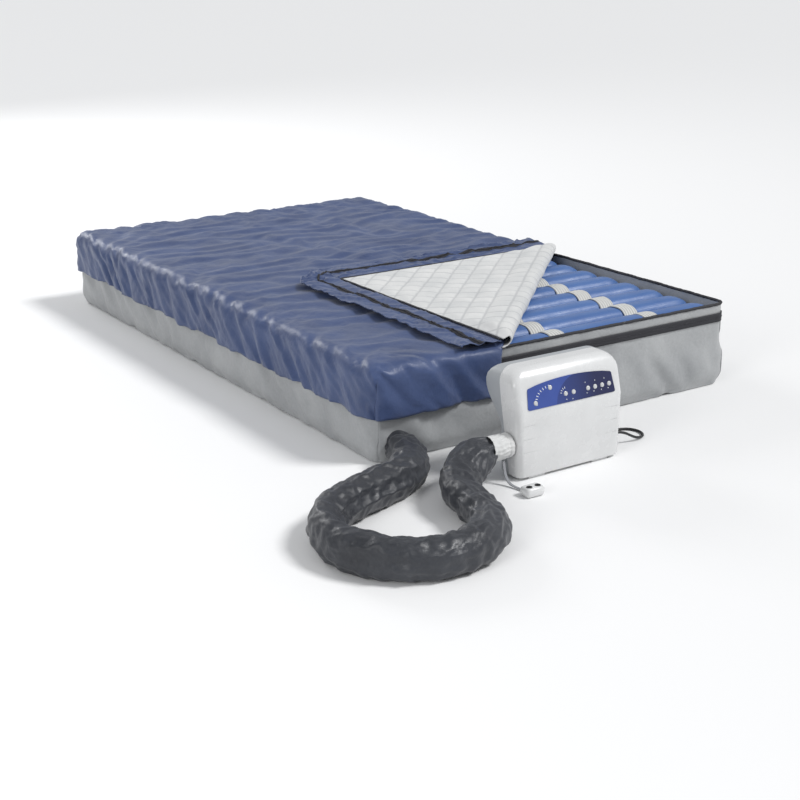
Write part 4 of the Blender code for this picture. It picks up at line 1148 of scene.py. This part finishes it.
def coil_path():
    """Turns laid beside and on each other."""
    turns = COIL_COLUMNS * COIL_LAYERS
    u = np.linspace(0, turns, turns * 36 + 1)
    layer = np.minimum(u // COIL_COLUMNS, COIL_LAYERS - 1)
    within = u - layer * COIL_COLUMNS
    whole = np.minimum(np.floor(within), COIL_COLUMNS - 1)
    part = smooth((within - whole - 0.78) / 0.22)
    column = np.minimum(whole + part, COIL_COLUMNS - 1)
    column = np.where(layer % 2 == 0, column, COIL_COLUMNS - 1 - column)
    climbs = (whole == COIL_COLUMNS - 1) & (layer < COIL_LAYERS - 1)
    rise = layer + np.where(climbs, part, 0)
    return around_coil(COIL_OUTER_TURN - column * CORD_DIAMETER, u,
                       CORD_REST + rise * CORD_DIAMETER)


def make_mains(black):
    """Mains lead from its strain relief through the coil to the plug, with the coil's tie."""
    run = smooth_route(CORD_ROUTE, 0.006, (1, 0, 0), (-1, 0, 0))
    coil = coil_path()
    plug = middle_of("mains_plug")
    plug.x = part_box("mains_plug")[1].x
    u = np.linspace(0, 1, 40)[1:]
    inner = COIL_CENTRE[1] - coil[-1, 1]
    height = coil[-1, 2] + (plug.z - coil[-1, 2]) * smooth(u / 0.9)
    rise = around_coil(inner + (0.046 - inner) * smooth(u), u * 0.90, height)[u < 0.93]
    tail = smooth_route([rise[-1], (plug.x + 0.012, plug.y - 0.0006, plug.z),
                         (plug.x - 0.002, plug.y, plug.z)], 0.004)
    path = np.concatenate([run, coil, rise, tail[1:]])
    curve = bpy.data.curves.new("mains_lead", "CURVE")
    curve.dimensions = "3D"
    curve.bevel_depth = CORD_DIAMETER / 2
    curve.bevel_resolution = 3
    curve.use_fill_caps = True
    spline = curve.splines.new("POLY")
    spline.points.add(len(path) - 1)
    weights = np.ones((len(path), 1))
    spline.points.foreach_set("co", np.concatenate([path, weights], axis=1).ravel())
    spline.use_smooth = True
    lead = link("mains_lead", curve)
    add_piece(lead, black, "black_plastic", replaces=["mains_cord", "cord_coil"])
    ends = [make_strain_relief(black), make_coil_tie(black), frame["nodes"]["mains_plug"]]


def make_strain_relief(black):
    """Ribbed tapered sleeve where the mains lead leaves the pump."""
    low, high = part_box("strain_relief")
    centre, length = (low + high) / 2, high.x - low.x
    profile = [(0.0, 0.0), (0.0085, 0.0), (0.0085, 0.004)]
    for rib in range(6):
        start, radius = 0.006 + rib * 0.0040, 0.0078 - 0.00048 * rib
        groove = radius - 0.0013
        profile += [(groove, start - 0.0010), (groove, start), (radius, start + 0.0004),
                    (radius, start + 0.0022), (groove, start + 0.0026)]
    profile += [(0.0048, length), (0.0, length)]
    place = (low.x, centre.y, centre.z)
    obj = turned("ribbed_strain_relief", profile, place, (1, 0, 0), 28)
    return add_piece(obj, black, "black_plastic", replaces=["strain_relief"])


def make_coil_tie(black):
    """Band that holds the coil's turns together at its far side."""
    high = COIL_LAYERS * CORD_DIAMETER + 0.0016
    inner = COIL_OUTER_TURN - COIL_COLUMNS * CORD_DIAMETER + 0.0020
    outer = COIL_OUTER_TURN + CORD_DIAMETER / 2 + 0.0016
    section = [(inner, 0.0012), (inner + 0.002, 0.0004), (outer - 0.002, 0.0004), (outer, 0.0024),
               (outer, high - 0.003), (outer - 0.003, high), (inner + 0.003, high),
               (inner, high - 0.003)]
    angles = np.radians(np.linspace(84, 96, 7))
    grid = np.array([[(COIL_CENTRE[0] + r * math.cos(a), COIL_CENTRE[1] + r * math.sin(a), z)
                      for r, z in section] for a in angles])
    obj = grid_object("coil_tie", grid, wrap=True)
    return add_piece(obj, black, "black_plastic", thick=0.0009, offset=0)


# Pump

def paint(obj, material, smooth_angle=38):
    """Give a CAD node its material, and shade its faceted curves smooth without moving them."""
    obj.data.materials.clear()
    obj.data.materials.append(material)
    obj.data.polygons.foreach_set("use_smooth", [True] * len(obj.data.polygons))
    weld = obj.modifiers.new("joined corners", "WELD")
    weld.merge_threshold = 0.00002
    split = obj.modifiers.new("sharp edges", "EDGE_SPLIT")
    split.split_angle = math.radians(smooth_angle)
    split.use_edge_sharp = False


PANEL_TILT = math.radians(15)


def panel_place(across, up, out):
    """A point on the control panel, from its lower left corner."""
    slope_up = Vector((0, math.sin(PANEL_TILT), math.cos(PANEL_TILT)))
    slope_out = Vector((0, -math.cos(PANEL_TILT), math.sin(PANEL_TILT)))
    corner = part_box("control_panel")[0]
    return corner + Vector((across, 0, 0)) + slope_up * up + slope_out * out


def add_mark(bm, across, up, width, height, turn):
    """A small raised bar on the panel."""
    place = Matrix.Translation(panel_place(across, up, 0.0001))
    place = place @ Matrix.Rotation(-PANEL_TILT, 4, "X") @ Matrix.Rotation(turn, 4, "Y")
    place = place @ Matrix.Diagonal((width, 0.0004, height, 1))
    bmesh.ops.create_cube(bm, size=1, matrix=place)


def make_panel_marks(white):
    """Light bars and dots beside the buttons."""
    bm = bmesh.new()
    for i in range(9):
        t = math.radians(186 - i * 11.2)
        add_mark(bm, 0.0745 + 0.048 * math.cos(t), 0.0140 + 0.036 * math.sin(t), 0.0064, 0.0019, -t)
    for i in range(4):
        t = math.radians(168 - i * 24)
        add_mark(bm, 0.1190 + 0.015 * math.cos(t), 0.0230 + 0.014 * math.sin(t), 0.0052, 0.0015, -t)
    for across, up in ((0.138, 0.006), (0.182, 0.039), (0.213, 0.039), (0.243, 0.039),
                       (0.184, 0.012), (0.206, 0.013), (0.230, 0.013), (0.252, 0.013),
                       (0.119, 0.008)):
        add_mark(bm, across, up, 0.0022, 0.0022, math.radians(45))
    mesh = bpy.data.meshes.new("panel_lights")
    bm.to_mesh(mesh)
    bm.free()
    obj = add_piece(link("panel_lights", mesh), white, "case_white")
    modifier = obj.modifiers.new("rounded edges", "BEVEL")
    modifier.width = 0.0002
    modifier.segments = 2
    modifier.limit_method = "ANGLE"
    modifier.angle_limit = math.radians(35)
    modifier.harden_normals = True


def dress_pump(case_white, grey, black, metal):
    """Materials of the CAD nodes that stay: the pump's, the connector's and the zip slider's."""
    nodes = frame["nodes"]
    pearl = moulded("pearl button", (0.62, 0.63, 0.64), 0.25, 0.1, coat=0.4)
    line = moulded("air line", (0.62, 0.66, 0.68), 0.30, 0.1)
    for material, names in (
            (case_white, ("pump_front_case", "pump_foot_left", "pump_foot_right", "air_connector")),
            (grey, ("pump_rear_case", "filter_cover", "bed_hook_left", "bed_hook_right")),
            (black, ("power_switch", "mains_plug")), (metal, ("zip_slider", "compressor")),
            (line, ("air_manifold_a", "air_manifold_b")), (pearl, ("air_distributor",)),
            (make_panel_print(), ("control_panel",)), (make_board(), ("control_board",))):
        for name in names:
            paint(nodes[name], material)
    for name in nodes:
        if name.startswith("button_"):
            paint(nodes[name], pearl, 50)
    make_panel_marks(moulded("panel white print", (0.85, 0.87, 0.88), 0.35, 0.05))


STRAP_PLACES = [sum(corner.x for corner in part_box(f"cell_strap_{number}")) / 2
                for number in (1, 2, 3)]

make_camera()
make_studio()
NAVY = nylon("navy nylon", (0.036, 0.060, 0.150), (0.060, 0.094, 0.215), 0.45, 0.30, 0.18)
SILVER = nylon("silver grey nylon", (0.31, 0.32, 0.33), (0.45, 0.46, 0.465), 0.40, 0.30, 0.12)
HOSE_CLOTH = nylon("dark grey nylon", (0.022, 0.024, 0.030), (0.050, 0.054, 0.064),
                   0.42, 0.40, 0.10)
ZIP_TAPE = make_zip_tape()
BLACK = moulded("black moulded", (0.018, 0.018, 0.020), 0.42, 0.25)
CASE_WHITE = moulded("white case", (0.74, 0.745, 0.745), 0.24, 0.12, coat=0.35)
LINING = make_lining()
METAL = make_metal()

make_mains(BLACK)
make_hose(HOSE_CLOTH, make_lining(quilted=False))
make_tether(make_webbing(), CASE_WHITE, BLACK)
dress_pump(CASE_WHITE, moulded("grey case", (0.42, 0.44, 0.46), 0.42, 0.3), BLACK, METAL)
make_base_cover(SILVER)
FILM = make_cell_film()
for cell_number in range(CELL_COUNT):
    make_cell(cell_number, FILM)
# The pale weld colour is a painted highlight along the grooves between the cells.
make_seam_highlights(moulded("pale weld highlight", (0.42, 0.46, 0.52), 0.5, 0.2))
make_straps(make_strap_tape())
make_top_cover(NAVY)
make_flap(LINING, NAVY)
make_skirt_strip("foot", NAVY, ZIP_TAPE, 301)
make_skirt_strip("side", NAVY, ZIP_TAPE, 351)
make_base_zip(ZIP_TAPE)
